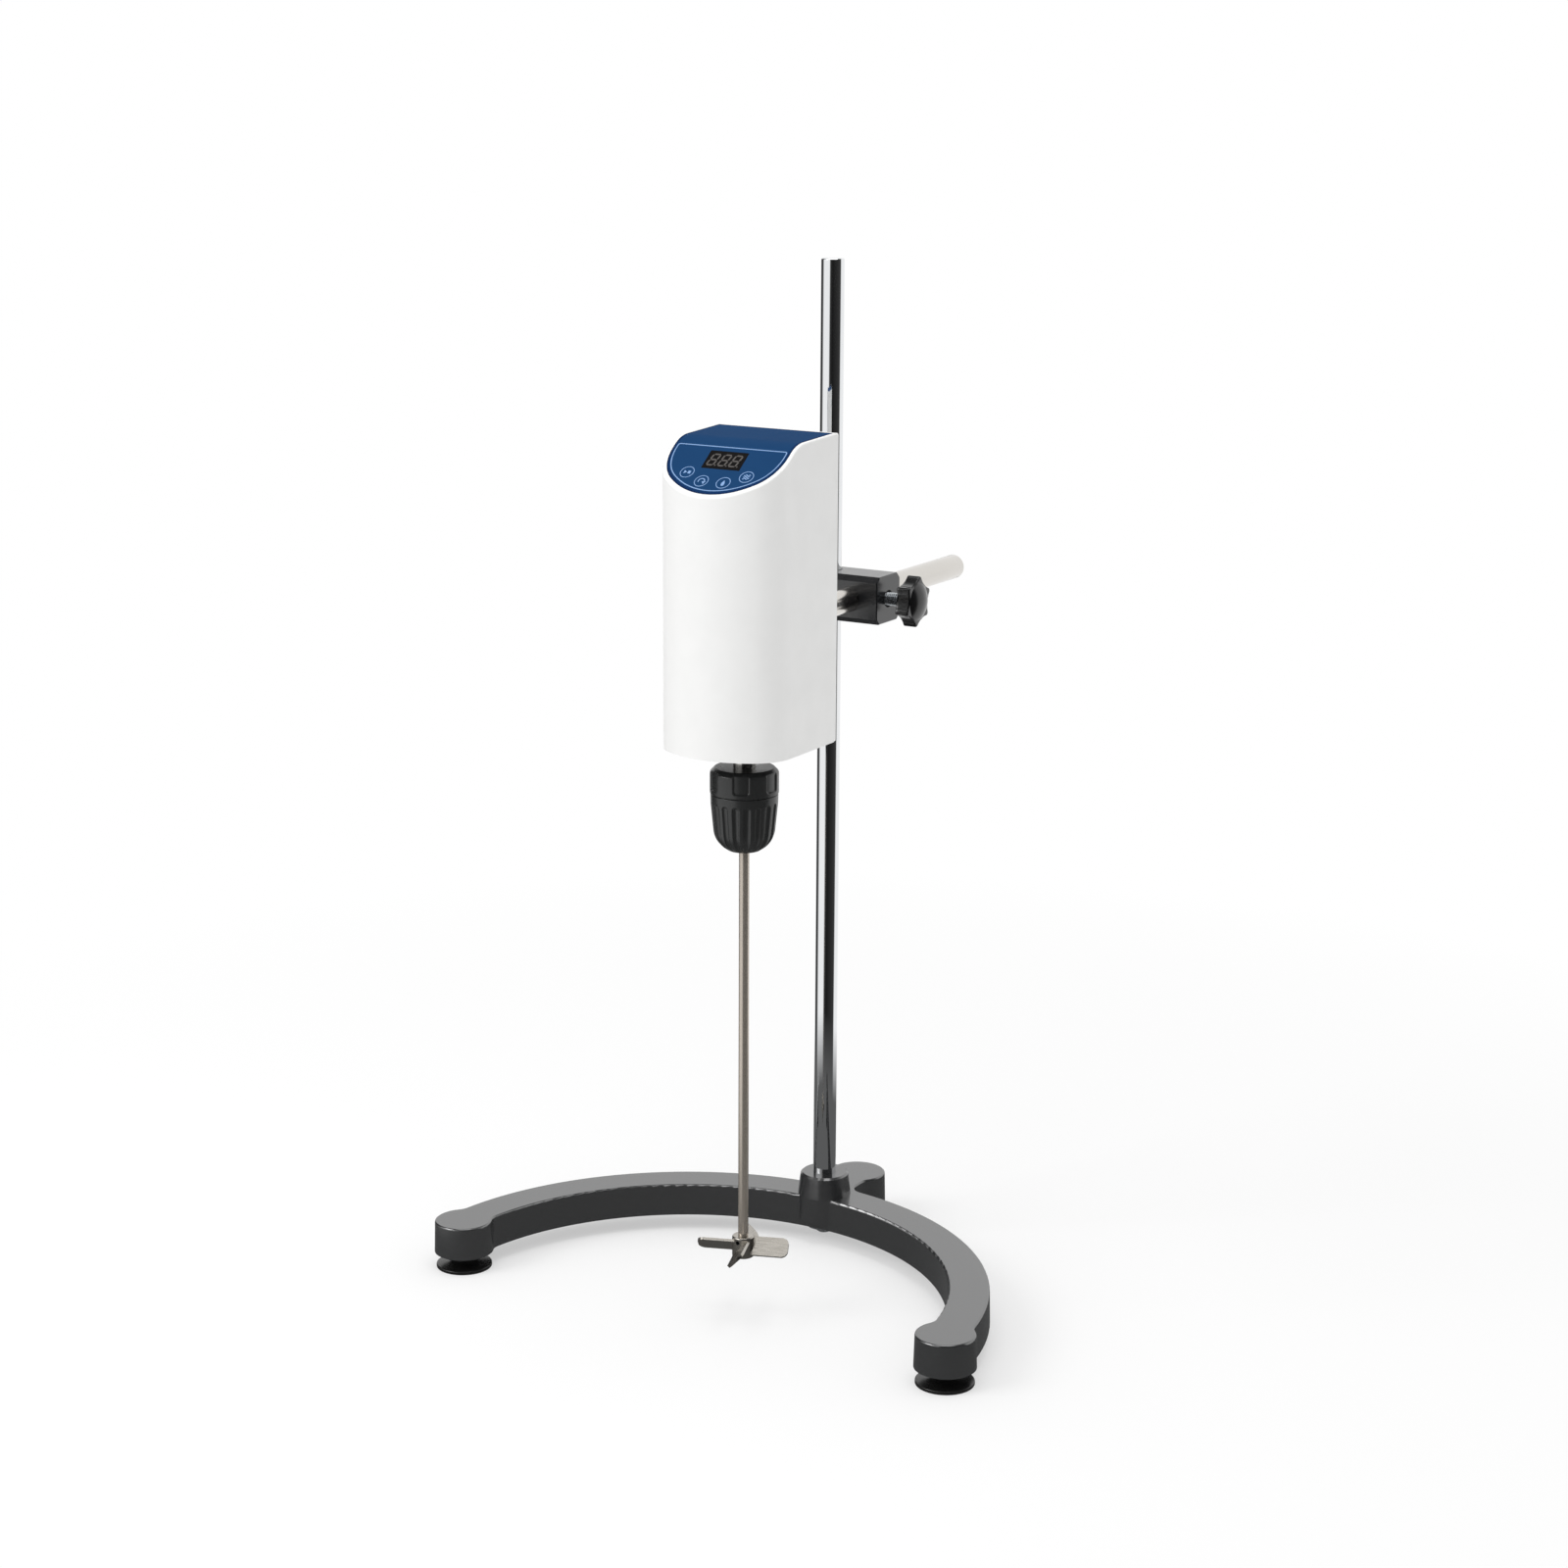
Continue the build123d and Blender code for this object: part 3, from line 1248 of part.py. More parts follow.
pieces = {
    "base_casting": base_casting,
    "left_foot": lambda: foot(front_feet[0]),
    "right_foot": lambda: foot(front_feet[1]),
    "rear_foot": lambda: foot(rear_foot_place),
    "foot_studs": foot_studs,
    "column": column,
    "column_washer": column_washer,
    "column_bolt": column_bolt,
    "clamp_block": clamp_block,
    "arm_knob": lambda: star_knob(arm_knob_back, 1),
    "arm_knob_stud": lambda: knob_stud(arm_seat, arm_knob_back, 1),
    "rod_knob": lambda: star_knob(rod_knob_back, -1),
    "rod_knob_stud": lambda: knob_stud(rod_seat, rod_knob_back, -1),
    "support_arm": support_arm,
    "arm_nut": arm_nut,
    "arm_collar": arm_collar,
    "front_shell": front_shell,
    "rear_cover": rear_cover,
    "cover_screws": lambda: back_screws(cover_points(), corner_post_length - 2),
    "frame_screws": lambda: back_screws(frame_points(), cover_thickness + frame_thickness),
    "bottom_plate": bottom_plate,
    "bottom_screws": bottom_screws,
    "control_overlay": control_overlay,
    "display_window": display_window,
    "display_module": display_module,
    "display_digits": display_digits,
    "display_board": display_board,
    "touch_sensors": touch_sensors,
    "controller_board": controller_board,
    "board_parts": board_parts,
    "board_posts": board_posts,
    "switch_frame": switch_frame,
    "switch_rocker": switch_rocker,
    "power_inlet": power_inlet,
    "inlet_nut": inlet_nut,
    "drive_frame": drive_frame,
    "bearing_housing": bearing_housing,
    "housing_screws": housing_screws,
    "spindle_bearings": lambda: group([bearing(shelf_top), bearing(shelf_top + housing_height - bearing_width)]),
    "retaining_ring": retaining_ring,
    "spindle": spindle,
    "coupling_lower": lambda: coupling_hub(coupling_lower_z(), spindle_radius, True),
    "coupling_spider": coupling_spider,
    "coupling_upper": lambda: coupling_hub(coupling_lower_z() + coupling_hub_length + coupling_jaw_height,
                                           motor_shaft_radius, False),
    "motor_can": motor_can,
    "motor_stator": motor_stator,
    "motor_rotor": motor_rotor,
    "motor_bearings": motor_bearings,
    "motor_screws": motor_screws,
    "chuck_body": chuck_body,
    "chuck_rear_sleeve": chuck_rear_sleeve,
    "chuck_front_sleeve": chuck_front_sleeve,
    "jaw_nut": jaw_nut,
    "chuck_jaw_1": lambda: chuck_jaw(0),
    "chuck_jaw_2": lambda: chuck_jaw(1),
    "chuck_jaw_3": lambda: chuck_jaw(2),
    "stirring_shaft": stirring_shaft,
    "impeller": impeller,
    "impeller_screw": impeller_screw,
}

os.makedirs("parts", exist_ok=True)
for name, build in pieces.items():
    export_step(build(), f"parts/{name}.step")
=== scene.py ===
"""Looks of a bench-top overhead stirrer on its horseshoe stand.

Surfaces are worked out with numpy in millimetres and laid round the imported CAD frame. Every
finish is procedural and is sized in millimetres.
"""

import logging
from collections.abc import Callable
from dataclasses import dataclass
from enum import Enum
from math import atan2, cos, degrees, pi, radians, sin, sqrt, tan

import bmesh
import bpy
import numpy as np
from mathutils import Matrix, Vector


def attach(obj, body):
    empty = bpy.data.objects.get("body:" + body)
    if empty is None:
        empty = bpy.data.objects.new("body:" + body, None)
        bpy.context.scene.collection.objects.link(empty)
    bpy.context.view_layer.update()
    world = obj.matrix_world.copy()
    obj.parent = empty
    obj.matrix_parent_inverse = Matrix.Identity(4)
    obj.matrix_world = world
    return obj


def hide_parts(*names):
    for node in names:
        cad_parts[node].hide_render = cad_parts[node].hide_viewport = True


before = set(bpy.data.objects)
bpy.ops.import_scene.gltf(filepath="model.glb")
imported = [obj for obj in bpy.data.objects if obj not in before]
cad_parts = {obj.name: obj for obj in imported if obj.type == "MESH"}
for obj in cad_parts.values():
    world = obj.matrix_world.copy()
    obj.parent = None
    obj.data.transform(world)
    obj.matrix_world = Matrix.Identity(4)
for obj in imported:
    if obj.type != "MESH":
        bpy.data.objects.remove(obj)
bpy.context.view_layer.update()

MM = 0.001
HEAD_X = 20.5  # middle of the head, of the support arm and of the stirring axis
STIR_AXIS = (HEAD_X, -105.0, 0.0)
COLUMN_Y = 28.0
CLAMP_Z = 412.5  # height of the support arm and of both studs
PRINT_LOW, PRINT_HIGH = -0.05, 0.05  # how far print reaches under and over its face
log = logging.getLogger("stirrer")

Socket = bpy.types.NodeSocket
Tone = float | tuple | Socket  # number or colour, or the socket that gives it
Flat = tuple[float, float]
Point = tuple[float, float, float]
Relief = Callable[[np.ndarray, np.ndarray, np.ndarray], np.ndarray]  # depth at each angle, radius and height


# Colour, nodes and finishes

def linear(colour: str) -> tuple[float, float, float, float]:
    """Turns an sRGB hex colour into linear light.

    Args:
        colour: Six hex digits after a hash sign.

    Returns:
        Red, green, blue and full opacity, each from 0 to 1.
    """
    parts = [int(colour[i:i + 2], 16) / 255 for i in (1, 3, 5)]
    light = [p / 12.92 if p <= 0.04045 else ((p + 0.055) / 1.055) ** 2.4 for p in parts]
    return (*light, 1.0)


class Graph:
    """Nodes of one material or of the world."""

    def __init__(self, owner: bpy.types.Material | bpy.types.World) -> None:
        """Takes the owner's node tree and empties it."""
        owner.use_nodes = True
        self.tree = owner.node_tree
        self.tree.nodes.clear()

    def add(self, kind: str, inputs: dict | None = None, **settings) -> bpy.types.Node:
        """Adds a node, sets it and links it.

        Args:
            kind: Blender's name of the node type without ShaderNode.
            inputs: Socket name or number, with the value or the output socket that feeds it.
            **settings: Properties of the node, set before its inputs.

        Returns:
            The new node.
        """
        node = self.tree.nodes.new("ShaderNode" + kind)
        for name, value in settings.items():
            setattr(node, name, value)
        for name, value in (inputs or {}).items():
            if isinstance(value, Socket):
                self.tree.links.new(value, node.inputs[name])
            else:
                node.inputs[name].default_value = value
        return node

    def place(self) -> Socket:
        """Position on the piece in metres."""
        return self.add("TexCoord").outputs["Object"]

    def math(self, operation: str, first: Socket, second: Socket) -> Socket:
        """Joins two numbers by an operation of the Math node."""
        return self.add("Math", {0: first, 1: second}, operation=operation).outputs[0]

    def mix(self, share: Socket, first: Tone, second: Tone, kind: str = "RGBA") -> Socket:
        """Goes from one value to another.

        Args:
            share: Share of the second value, from 0 to 1.
            first: Value at a share of 0.
            second: Value at a share of 1.
            kind: RGBA for colours or FLOAT for numbers.

        Returns:
            The mixed value.
        """
        start, result = {"RGBA": (6, 2), "FLOAT": (2, 0)}[kind]
        node = self.add("Mix", {"Factor": share, start: first, start + 1: second}, data_type=kind)
        return node.outputs[result]

    def ranged(self, value: Socket, start: float, end: float, low: float = 0.0, high: float = 1.0) -> Socket:
        """Carries one range of values over to another.

        Args:
            value: Number to carry over.
            start: Value that becomes low, as does all below it.
            end: Value that becomes high, as does all above it.
            low: Result at the start.
            high: Result at the end.

        Returns:
            The new number.
        """
        return self.add("MapRange", {"Value": value, 1: start, 2: end, 3: low, 4: high}).outputs[0]

    def noise(self, pitch_mm: Point, detail: float) -> Socket:
        """Noise whose spots have the given size along each axis.

        Args:
            pitch_mm: Size of a spot along X, Y and Z.
            detail: Octaves of finer noise.

        Returns:
            The noise's value from 0 to 1.
        """
        scale = tuple(1000 / p for p in pitch_mm)
        stretched = self.add("VectorMath", {0: self.place(), 1: scale}, operation="MULTIPLY")
        return self.add("TexNoise", {"Vector": stretched.outputs[0], "Scale": 1.0, "Detail": detail}).outputs[0]

    def relief(self, height: Socket, depth_mm: float, under: dict | None = None) -> dict:
        """Turns a pattern into relief.

        Args:
            height: Pattern from 0 to 1.
            depth_mm: Depth of the relief.
            under: Coarser relief that this one lies on.

        Returns:
            Normal for the shader.
        """
        bump = self.add("Bump", {"Height": height, "Distance": depth_mm * MM, **(under or {})})
        return {"Normal": bump.outputs[0]}


@dataclass(frozen=True)
class Finish:
    """A surface finish that becomes one shared material, named after the real one and how it is made."""

    name: str
    colour: str
    shade: str  # second colour that the surface drifts to in faint patches
    roughness: float

    def material(self) -> bpy.types.Material:
        """Returns the material, made on first use."""
        found = bpy.data.materials.get(self.name)
        if found:
            return found
        material = bpy.data.materials.new(self.name)
        graph = Graph(material)
        shader = graph.add("BsdfPrincipled", {"Roughness": self.roughness, **self.inputs(graph)})
        graph.add("OutputMaterial", {"Surface": shader.outputs[0]})
        return material

    def inputs(self, graph: Graph) -> dict:
        """The finish's own pattern.

        Args:
            graph: Nodes of the material.

        Returns:
            Inputs of the Principled shader, as values or sockets.
        """
        raise NotImplementedError

    def tint(self, graph: Graph, patches: Socket, spread: float) -> dict:
        """Drifts the colour and the roughness with a patch pattern.

        Args:
            graph: Nodes of the material.
            patches: Pattern from 0 to 1.
            spread: How far the roughness moves either way.

        Returns:
            Colour and roughness for the shader.
        """
        colour = graph.mix(patches, linear(self.colour), linear(self.shade))
        rough = graph.ranged(patches, 0.3, 0.7, self.roughness - spread, self.roughness + spread)
        return {"Base Color": colour, "Roughness": rough}


@dataclass(frozen=True)
class Moulding(Finish):
    """Injection-moulded plastic or rubber: one pigment all through, with the mould's fine texture."""

    grain_mm: float = 0.5
    relief_mm: float = 0.01
    coat: float = 0.0  # weight of a glossy skin, as on polished moulds

    def inputs(self, graph: Graph) -> dict:
        """Moulding texture as relief and slow handling marks as gloss."""
        marks = self.tint(graph, graph.noise((14, 14, 14), 3), self.roughness * 0.14)
        relief = graph.relief(graph.noise((self.grain_mm,) * 3, 1), self.relief_mm)
        return {"IOR": 1.5, "Coat Weight": self.coat, "Coat Roughness": 0.06, **marks, **relief}


@dataclass(frozen=True)
class PowderCoat(Finish):
    """Baked powder coat on a casting: a smooth skin that shines at low angles, hence its high index."""

    def inputs(self, graph: Graph) -> dict:
        """Shallow orange peel with fine grit on it as relief, and flecks as colour."""
        flecks = self.tint(graph, graph.noise((2.4, 2.4, 2.4), 4), 0.02)
        peel = graph.relief(graph.noise((1.6, 1.6, 1.6), 2), 0.004)
        return {"IOR": 2.5, **flecks, **graph.relief(graph.noise((0.55, 0.55, 0.55), 1), 0.002, peel)}


class Lay(Enum):
    """Way that the tool marks run on a worked metal, as spot sizes in millimetres along X, Y and Z."""

    ROUND_Z = (9.0, 9.0, 0.35)
    ALONG_Z = (0.35, 0.35, 30.0)
    ROUND_Y = (9.0, 0.35, 9.0)
    ROLLED = (0.45, 22.0, 22.0)
    NONE = (1.2, 1.2, 1.2)


@dataclass(frozen=True)
class WorkedMetal(Finish):
    """Metal that was ground, turned, rolled or plated, with tool marks one way."""

    lay: Lay = Lay.NONE
    relief_mm: float = 0.004
    haze: float = 0.0  # share of the light that fine scratches scatter evenly

    def inputs(self, graph: Graph) -> dict:
        """Tool marks as relief and tone, drawn about 0.35 mm wide, coarser than real ones, to show."""
        marks = graph.noise(self.lay.value, 3)
        tone = self.tint(graph, marks, self.roughness * min(0.25, 60 * self.relief_mm))
        return {"Metallic": 1.0 - self.haze, **tone, **graph.relief(marks, self.relief_mm)}


@dataclass(frozen=True)
class Plating(Finish):
    """Bright chrome plate over ground bar: a clear mirror with a faint haze and slow ripples."""

    def inputs(self, graph: Graph) -> dict:
        """Haze patches on the mirror and the bar's slow ripple as relief."""
        haze = self.tint(graph, graph.noise((18, 18, 60), 3), self.roughness * 0.4)
        return {"Metallic": 1.0, **haze, **graph.relief(graph.noise((20, 20, 2.2), 1), 0.0025)}


@dataclass(frozen=True)
class Anodised(Finish):
    """Bead-blasted and black anodised aluminium: a dark dyed oxide that shines at low angles."""

    def inputs(self, graph: Graph) -> dict:
        """The blast's fine dimples, drawn at 0.5 mm so that they show."""
        patches = self.tint(graph, graph.noise((6, 6, 6), 3), 0.02)
        return {"IOR": 1.7, **patches, **graph.relief(graph.noise((0.5, 0.5, 0.5), 1), 0.002)}


@dataclass(frozen=True)
class PrintedFilm(Finish):
    """Polyester film printed from behind: even blue, a darker border and a thin navy rim."""

    border: str = "#12305A"
    rim: str = "#071D42"
    border_mm: float = 1.7
    rim_mm: float = 0.8

    def inputs(self, graph: Graph) -> dict:
        """Colour stepped by each point's distance from the film's edge, and the film's fine matt texture."""
        edge = graph.add("Attribute", attribute_name="edge_mm").outputs["Fac"]
        field = graph.mix(graph.noise((16, 16, 16), 2), linear(self.colour), linear(self.shade))
        inside = graph.ranged(edge, self.border_mm - 0.15, self.border_mm + 0.15)
        past_rim = graph.ranged(edge, self.rim_mm - 0.3, self.rim_mm + 0.3)
        colour = graph.mix(past_rim, linear(self.rim), graph.mix(inside, linear(self.border), field))
        texture = graph.relief(graph.noise((0.4, 0.4, 0.4), 1), 0.006)
        return {"IOR": 1.5, "Specular IOR Level": 0.03, "Base Color": colour, **texture}


@dataclass(frozen=True)
class Laminate(Finish):
    """Glass-fibre circuit board under solder mask, whose woven threads show as a faint grid."""

    thread_mm: float = 0.6  # spacing of the glass threads

    def inputs(self, graph: Graph) -> dict:
        """The threads as two crossed waves of relief and tone; the Wave node has 20 radians to a unit."""
        waves = {"Vector": graph.place(), "Scale": 1000 * 2 * pi / self.thread_mm / 20}
        warp, weft = (graph.add("TexWave", waves, bands_direction=way).outputs[1] for way in "XZ")
        weave = graph.math("MULTIPLY", warp, weft)
        return {**self.tint(graph, weave, 0.05), **graph.relief(weave, 0.01)}


# Stand: baked charcoal powder coat hides the casting and shines softly at low angles
CASTING_COAT = PowderCoat("charcoal powder coat on cast iron", "#222324", "#28292A", 0.20)
# Chromed bar: near mirror that shows the studio as upright bands
COLUMN_CHROME = Plating("chrome plate on ground steel bar", "#EDEEEF", "#E2E4E6", 0.05)
# Centreless-ground stainless bar: satin, with rings too fine to part by eye
ARM_STEEL = WorkedMetal("satin ground stainless bar", "#D9D6D1", "#D3CFC9", 0.17, Lay.ROUND_Y, 0.0004)
# Drawn stainless rod: browner and hazier than the arm
SHAFT_STEEL = WorkedMetal("drawn stainless rod", "#C6BDB2", "#BEB5AA", 0.26, Lay.ALONG_Z, 0.0006, 0.25)
# Milled and deburred stainless of the impeller
BLADE_STEEL = WorkedMetal("milled stainless steel", "#BDB9B2", "#A9A49C", 0.28, Lay.ROUND_Z)
# Bright zinc on screws and studs: cool, slightly cloudy
ZINC = WorkedMetal("bright zinc plate on steel", "#C9CCCE", "#AEB3B8", 0.24, Lay.NONE)
BLACK_STEEL = WorkedMetal("blackened steel screw", "#2A2B2D", "#222325", 0.36, Lay.NONE)
FRAME_STEEL = WorkedMetal("zinc-plated sheet steel", "#B4B7B9", "#9EA3A8", 0.34, Lay.ROLLED)
TURNED_ALUMINIUM = WorkedMetal("turned aluminium", "#CFD1D3", "#BFC2C5", 0.27, Lay.ROUND_Z)
GROUND_STEEL = WorkedMetal("ground bearing steel", "#CFCDC9", "#C2C0BC", 0.12, Lay.ROUND_Z, 0.0006)
CAN_STEEL = WorkedMetal("deep-drawn steel can", "#AEB0B2", "#989B9F", 0.32, Lay.ALONG_Z)
STATOR_IRON = WorkedMetal("stacked electrical steel", "#6E6A66", "#4E4B48", 0.48, Lay.ROUND_Z)
CHUCK_STEEL = WorkedMetal("hardened and ground steel", "#B7B2AB", "#A39E97", 0.17, Lay.ROUND_Z, 0.001)
CLAMP_BLACK = Anodised("black anodised aluminium", "#161719", "#1C1D1F", 0.18)
FOOT_RUBBER = Moulding("glossy moulded rubber", "#141414", "#1B1B1A", 0.26, 0.8, 0.012)
KNOB_PLASTIC = Moulding("polished black phenolic", "#0B0B0C", "#121213", 0.20, 1.5, 0.006, 0.25)
COLLAR_PLASTIC = Moulding("matt black nylon", "#1B1B1C", "#232324", 0.52, 0.5, 0.015)
SHELL_WHITE = Moulding("white satin ABS", "#F0F0EF", "#EAEAE9", 0.42, 0.7, 0.008)
CHUCK_PLASTIC = Moulding("dark grey glass-filled nylon", "#252626", "#2B2C2C", 0.30, 0.6, 0.008)
LENS_BLACK = Moulding("smoked acrylic lens", "#080606", "#0B0909", 0.12, 3.0, 0.002)
SEGMENT_GREY = Moulding("unlit display segments", "#5A5654", "#4E4A48", 0.35, 0.4, 0.004)
PRINT_BLUE = Moulding("light blue screen ink", "#7B9FCF", "#86A9D6", 0.45, 0.3, 0.003)
PRINT_WHITE = Moulding("white screen ink", "#E4E6E8", "#D8DBDE", 0.5, 0.3, 0.003)
SWITCH_BLACK = Moulding("satin black polyamide", "#171718", "#1F1F20", 0.40, 0.5, 0.012)
MODULE_GREY = Moulding("moulded display case", "#3A3A3A", "#444444", 0.5, 0.5, 0.01)
DIGIT_RESIN = Moulding("milky segment resin", "#8A8884", "#7C7A76", 0.4, 0.5, 0.006)
SENSOR_FOAM = Moulding("conductive foam", "#3A3A3C", "#2B2B2D", 0.8, 0.9, 0.15)
PART_BLACK = Moulding("moulded component cases", "#1D1E20", "#292A2C", 0.45, 0.6, 0.012)
SPIDER_RED = Moulding("red polyurethane", "#B5372F", "#A62E28", 0.4, 0.8, 0.01)
BOARD_GREEN = Laminate("green solder mask on laminate", "#1E5B3A", "#184C30", 0.35)
PANEL_FILM = PrintedFilm("printed polyester film", "#1B4069", "#193C64", 0.75)


# Numpy surfaces

@dataclass(frozen=True)
class Patch:
    """Grid of points in millimetres, rows by columns by 3, that may close on itself either way."""

    points: np.ndarray
    wrap_rows: bool = False
    wrap_columns: bool = False

    def quads(self, offset: int) -> np.ndarray:
        """Corner numbers of the patch's faces.

        Args:
            offset: Number of the patch's first point in the mesh.

        Returns:
            Array of faces by 4.
        """
        rows, columns = self.points.shape[:2]
        number = np.arange(rows * columns).reshape(rows, columns) + offset
        if self.wrap_rows:
            number = np.vstack([number, number[:1]])
        if self.wrap_columns:
            number = np.hstack([number, number[:, :1]])
        corners = (number[:-1, :-1], number[:-1, 1:], number[1:, 1:], number[1:, :-1])
        return np.stack(corners, axis=-1).reshape(-1, 4)


def make_mesh(name: str, patches: list[Patch]) -> bpy.types.Mesh:
    """Puts patches into one mesh, in metres.

    Args:
        name: Name of the mesh.
        patches: Grids that together make it.

    Returns:
        The new mesh.
    """
    starts = np.cumsum([0] + [p.points.shape[0] * p.points.shape[1] for p in patches])
    points = np.concatenate([p.points.reshape(-1, 3) for p in patches]) * MM
    faces = np.concatenate([p.quads(int(start)) for p, start in zip(patches, starts)]).astype(np.int32)
    mesh = bpy.data.meshes.new(name)
    mesh.vertices.add(len(points))
    mesh.vertices.foreach_set("co", points.astype(np.float32).ravel())
    mesh.loops.add(faces.size)
    mesh.loops.foreach_set("vertex_index", faces.ravel())
    mesh.polygons.add(len(faces))
    mesh.polygons.foreach_set("loop_start", np.arange(0, faces.size, 4, dtype=np.int32))
    mesh.update(calc_edges=True)
    return mesh


def make_piece(name: str, patches: list[Patch], finish: Finish, body: str, node: str = "",
               sharp: float = 32.0, edge_mm: np.ndarray | None = None) -> None:
    """Joins patches into one closed mesh, dresses it and lets it ride on a body.

    Args:
        name: Name of the piece.
        patches: Grids that together make the piece.
        finish: Finish of the piece.
        body: CAD body that the piece moves with.
        node: CAD node that the piece replaces.
        sharp: Angle in degrees over which an edge stays sharp.
        edge_mm: A number for each point, kept as the attribute of that name.
    """
    mesh = make_mesh(name, patches)
    if edge_mm is not None:
        layer = mesh.attributes.new("edge_mm", "FLOAT", "POINT")
        layer.data.foreach_set("value", edge_mm.astype(np.float32).ravel())
    merged = bmesh.new()
    merged.from_mesh(mesh)
    bmesh.ops.remove_doubles(merged, verts=merged.verts, dist=2e-6)
    bmesh.ops.dissolve_degenerate(merged, edges=merged.edges, dist=1e-6)
    bmesh.ops.recalc_face_normals(merged, faces=merged.faces)
    merged.to_mesh(mesh)
    merged.free()
    mesh.polygons.foreach_set("use_smooth", np.ones(len(mesh.polygons), bool))
    mesh.set_sharp_from_angle(angle=radians(sharp))
    mesh.materials.append(finish.material())
    piece = bpy.data.objects.new(name, mesh)
    bpy.context.scene.collection.objects.link(piece)
    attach(piece, body)
    if node:
        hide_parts(node)
    log.info("%s: %d faces", name, len(mesh.polygons))


def dress(finish: Finish, *nodes: str) -> None:
    """Gives CAD nodes a finish through their objects' own material slots.

    Args:
        finish: Finish of the nodes.
        *nodes: Names of the nodes.
    """
    for name in nodes:
        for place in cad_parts[name].material_slots:
            place.link = "OBJECT"
            place.material = finish.material()
        log.info("%s: %s", name, finish.name)


def rounded(corners: list[Flat], cuts: list[float], steps: int = 5) -> np.ndarray:
    """Open line whose inner corners are rounded.

    Each corner gives way to a quadratic Bezier curve from one side's cut to the other's.

    Args:
        corners: Points of the line.
        cuts: How far each corner is cut back along both its sides; 0 leaves it.
        steps: Points on each curve.

    Returns:
        Array of points by 2.
    """
    line = np.array(corners, float)
    t = np.linspace(0, 1, steps + 1)[:, None]
    made = [line[:1]]
    for before, corner, after, cut in zip(line[:-2], line[1:-1], line[2:], cuts):
        if cut:
            start = corner + (before - corner) * cut / np.linalg.norm(before - corner)
            end = corner + (after - corner) * cut / np.linalg.norm(after - corner)
            made.append((1 - t) ** 2 * start + 2 * t * (1 - t) * corner + t ** 2 * end)
        else:
            made.append(corner[None])
    made.append(line[-1:])
    return np.concatenate(made)


def respaced(line: np.ndarray, step: float) -> np.ndarray:
    """Puts more points on a line so that none lie further apart than a step.

    Args:
        line: Points by 2.
        step: Largest distance between neighbours.

    Returns:
        The line's own points with even ones between them.
    """
    runs = [np.linspace(a, b, max(1, int(np.ceil(np.linalg.norm(b - a) / step))), endpoint=False)
            for a, b in zip(line[:-1], line[1:])]
    return np.concatenate(runs + [line[-1:]])


class Axis(Enum):
    """Line that a turned piece is turned about."""

    X = 0
    Y = 1
    Z = 2


def turned(profile: np.ndarray, centre: Point, axis: Axis = Axis.Z, columns: int = 96,
           relief: Relief | None = None) -> Patch:
    """Surface of revolution.

    Each profile point (radius, height) goes round the axis: radius times cosine and sine of the
    angle across it, height along it. The relief's depth is taken off at right angles to the
    profile. The profile runs with the solid on its right.

    Args:
        profile: Points by 2, radius and height.
        centre: Point of the axis at height 0.
        axis: Direction of the axis.
        columns: Steps round the axis.
        relief: Function that gives the depth to take off.

    Returns:
        The closed patch.
    """
    angle = np.linspace(0, 2 * pi, columns, endpoint=False)[None, :]
    radius = np.repeat(profile[:, :1], columns, axis=1)
    height = np.repeat(profile[:, 1:], columns, axis=1)
    if relief:
        depth = relief(angle, radius, height)
        run = np.gradient(profile, axis=0)
        run = run / np.linalg.norm(run, axis=1, keepdims=True)
        radius, height = radius + depth * run[:, 1:], height - depth * run[:, :1]
    first, second = radius * np.cos(angle), radius * np.sin(angle)
    order = {Axis.X: (height, first, second), Axis.Y: (second, height, first), Axis.Z: (first, second, height)}
    return Patch(np.stack(order[axis], axis=-1) + np.array(centre), wrap_columns=True)


def circle(middle: Flat, radius: float, start: float = 0.0, sweep: float = 360.0,
           count: int = 48) -> np.ndarray:
    """Points of a circle or of an arc.

    Args:
        middle: Centre.
        radius: Radius.
        start: First angle in degrees.
        sweep: Angle covered in degrees; a whole circle leaves its last point out.
        count: Number of points.

    Returns:
        Array of points by 2.
    """
    angle = np.radians(start + np.linspace(0, sweep, count, endpoint=abs(sweep) < 360))
    return np.array(middle) + radius * np.stack([np.cos(angle), np.sin(angle)], axis=-1)


def off_nearest(angle: np.ndarray, start: float, count: int) -> np.ndarray:
    """Angle from the nearest of some features that lie evenly round a circle.

    Args:
        angle: Angles in radians.
        start: Angle of the first feature in degrees.
        count: Number of features.

    Returns:
        Angles from minus to plus half a step.
    """
    step = 2 * pi / count
    return (angle - radians(start) + step / 2) % step - step / 2


